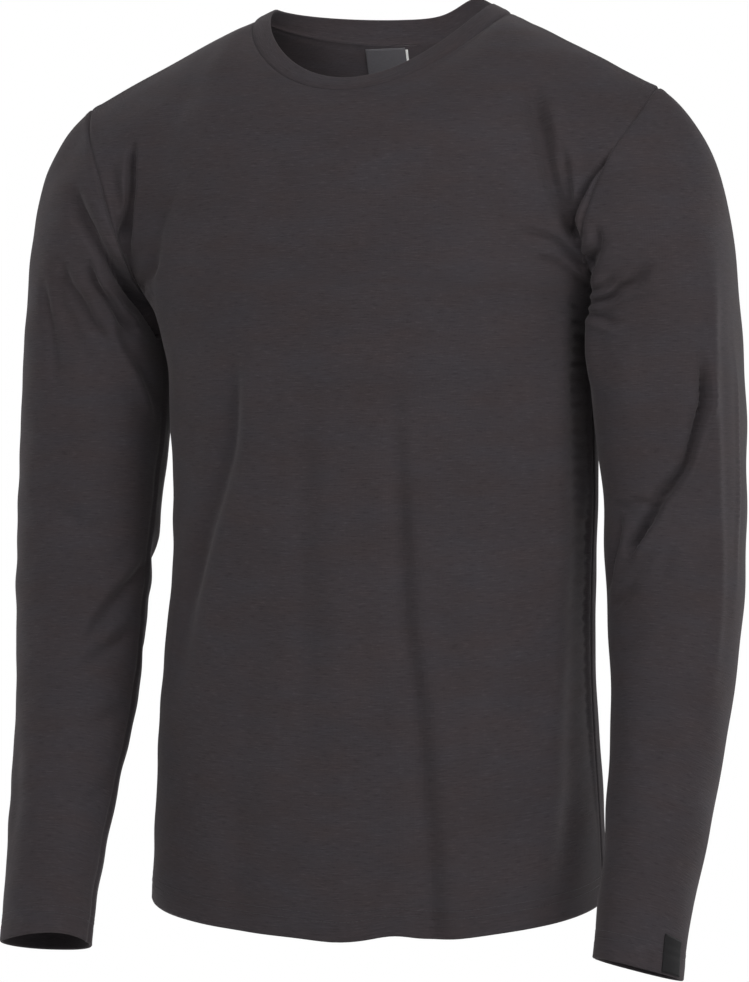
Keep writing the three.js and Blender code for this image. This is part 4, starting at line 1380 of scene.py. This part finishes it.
def add_room(scene, fill):
    """White all round to the camera, and a dim even light to everything else."""
    world = bpy.data.worlds.new("white_room")
    world.use_nodes = True
    tree = world.node_tree
    tree.nodes.clear()
    lit, seen = (
        node(tree, "ShaderNodeBackground", {"Color": (1, 1, 1, 1), "Strength": strength})
        for strength in (fill, 1.0)
    )
    rays = node(tree, "ShaderNodeLightPath").outputs["Is Camera Ray"]
    both = node(tree, "ShaderNodeMixShader", {0: rays, 1: lit.outputs[0], 2: seen.outputs[0]})
    node(tree, "ShaderNodeOutputWorld", {"Surface": both.outputs[0]})
    scene.world = world


class BASELAYER_OT_studio(bpy.types.Operator):
    """Make the floor, the lights and the camera"""

    bl_idname = "base_layer.studio"
    bl_label = "Studio"

    def execute(self, context):
        scene, settings = context.scene, context.scene.base_layer_studio
        add_floor(settings.floor_drop)
        turn = settings.camera_turn
        right = Vector((math.cos(turn), math.sin(turn), 0))
        ahead = Vector((-math.sin(turn), math.cos(turn), 0))
        middle = right * LOOKED_AT[0] + Vector((0, 0, LOOKED_AT[1]))
        add_camera(scene, middle - ahead * settings.camera_away, turn)
        for aim, lights in ((middle, LIGHTS), (Vector(NECK_MIDDLE), NECK_LIGHTS)):
            for name, (to_right, nearer, higher, wide, watts) in lights.items():
                place = right * to_right - ahead * nearer + Vector((0, 0, higher))
                add_light(scene, name, aim, place, wide, watts * settings.light)
        add_room(scene, settings.fill)
        scene.view_settings.view_transform = "Standard"
        return {"FINISHED"}


class BASELAYER_PT_panel(bpy.types.Panel):
    """The top's settings and the steps that build it"""

    bl_label = "Base layer top"
    bl_idname = "BASELAYER_PT_panel"
    bl_space_type = "VIEW_3D"
    bl_region_type = "UI"
    bl_category = "Base Layer"

    def draw(self, context):
        for group in (context.scene.base_layer_cloth, context.scene.base_layer_studio):
            box = self.layout.box()
            for name in group.__annotations__:
                box.prop(group, name)
        for operator in OPERATORS:
            self.layout.operator(operator.bl_idname)


OPERATORS = (
    BASELAYER_OT_panels,
    BASELAYER_OT_sleeves,
    BASELAYER_OT_neckband,
    BASELAYER_OT_labels,
    BASELAYER_OT_stitching,
    BASELAYER_OT_studio,
)
CLASSES = (BaseLayerCloth, BaseLayerStudio, *OPERATORS, BASELAYER_PT_panel)


def register():
    for made in CLASSES:
        bpy.utils.register_class(made)
    bpy.types.Scene.base_layer_cloth = PointerProperty(type=BaseLayerCloth)
    bpy.types.Scene.base_layer_studio = PointerProperty(type=BaseLayerStudio)


def unregister():
    del bpy.types.Scene.base_layer_cloth
    del bpy.types.Scene.base_layer_studio
    for made in reversed(CLASSES):
        bpy.utils.unregister_class(made)


def main():
    register()
    bpy.ops.base_layer.panels()
    bpy.ops.base_layer.sleeves()
    bpy.ops.base_layer.neckband()
    bpy.ops.base_layer.labels()
    bpy.ops.base_layer.stitching()
    bpy.ops.base_layer.studio()


if __name__ == "__main__":
    main()
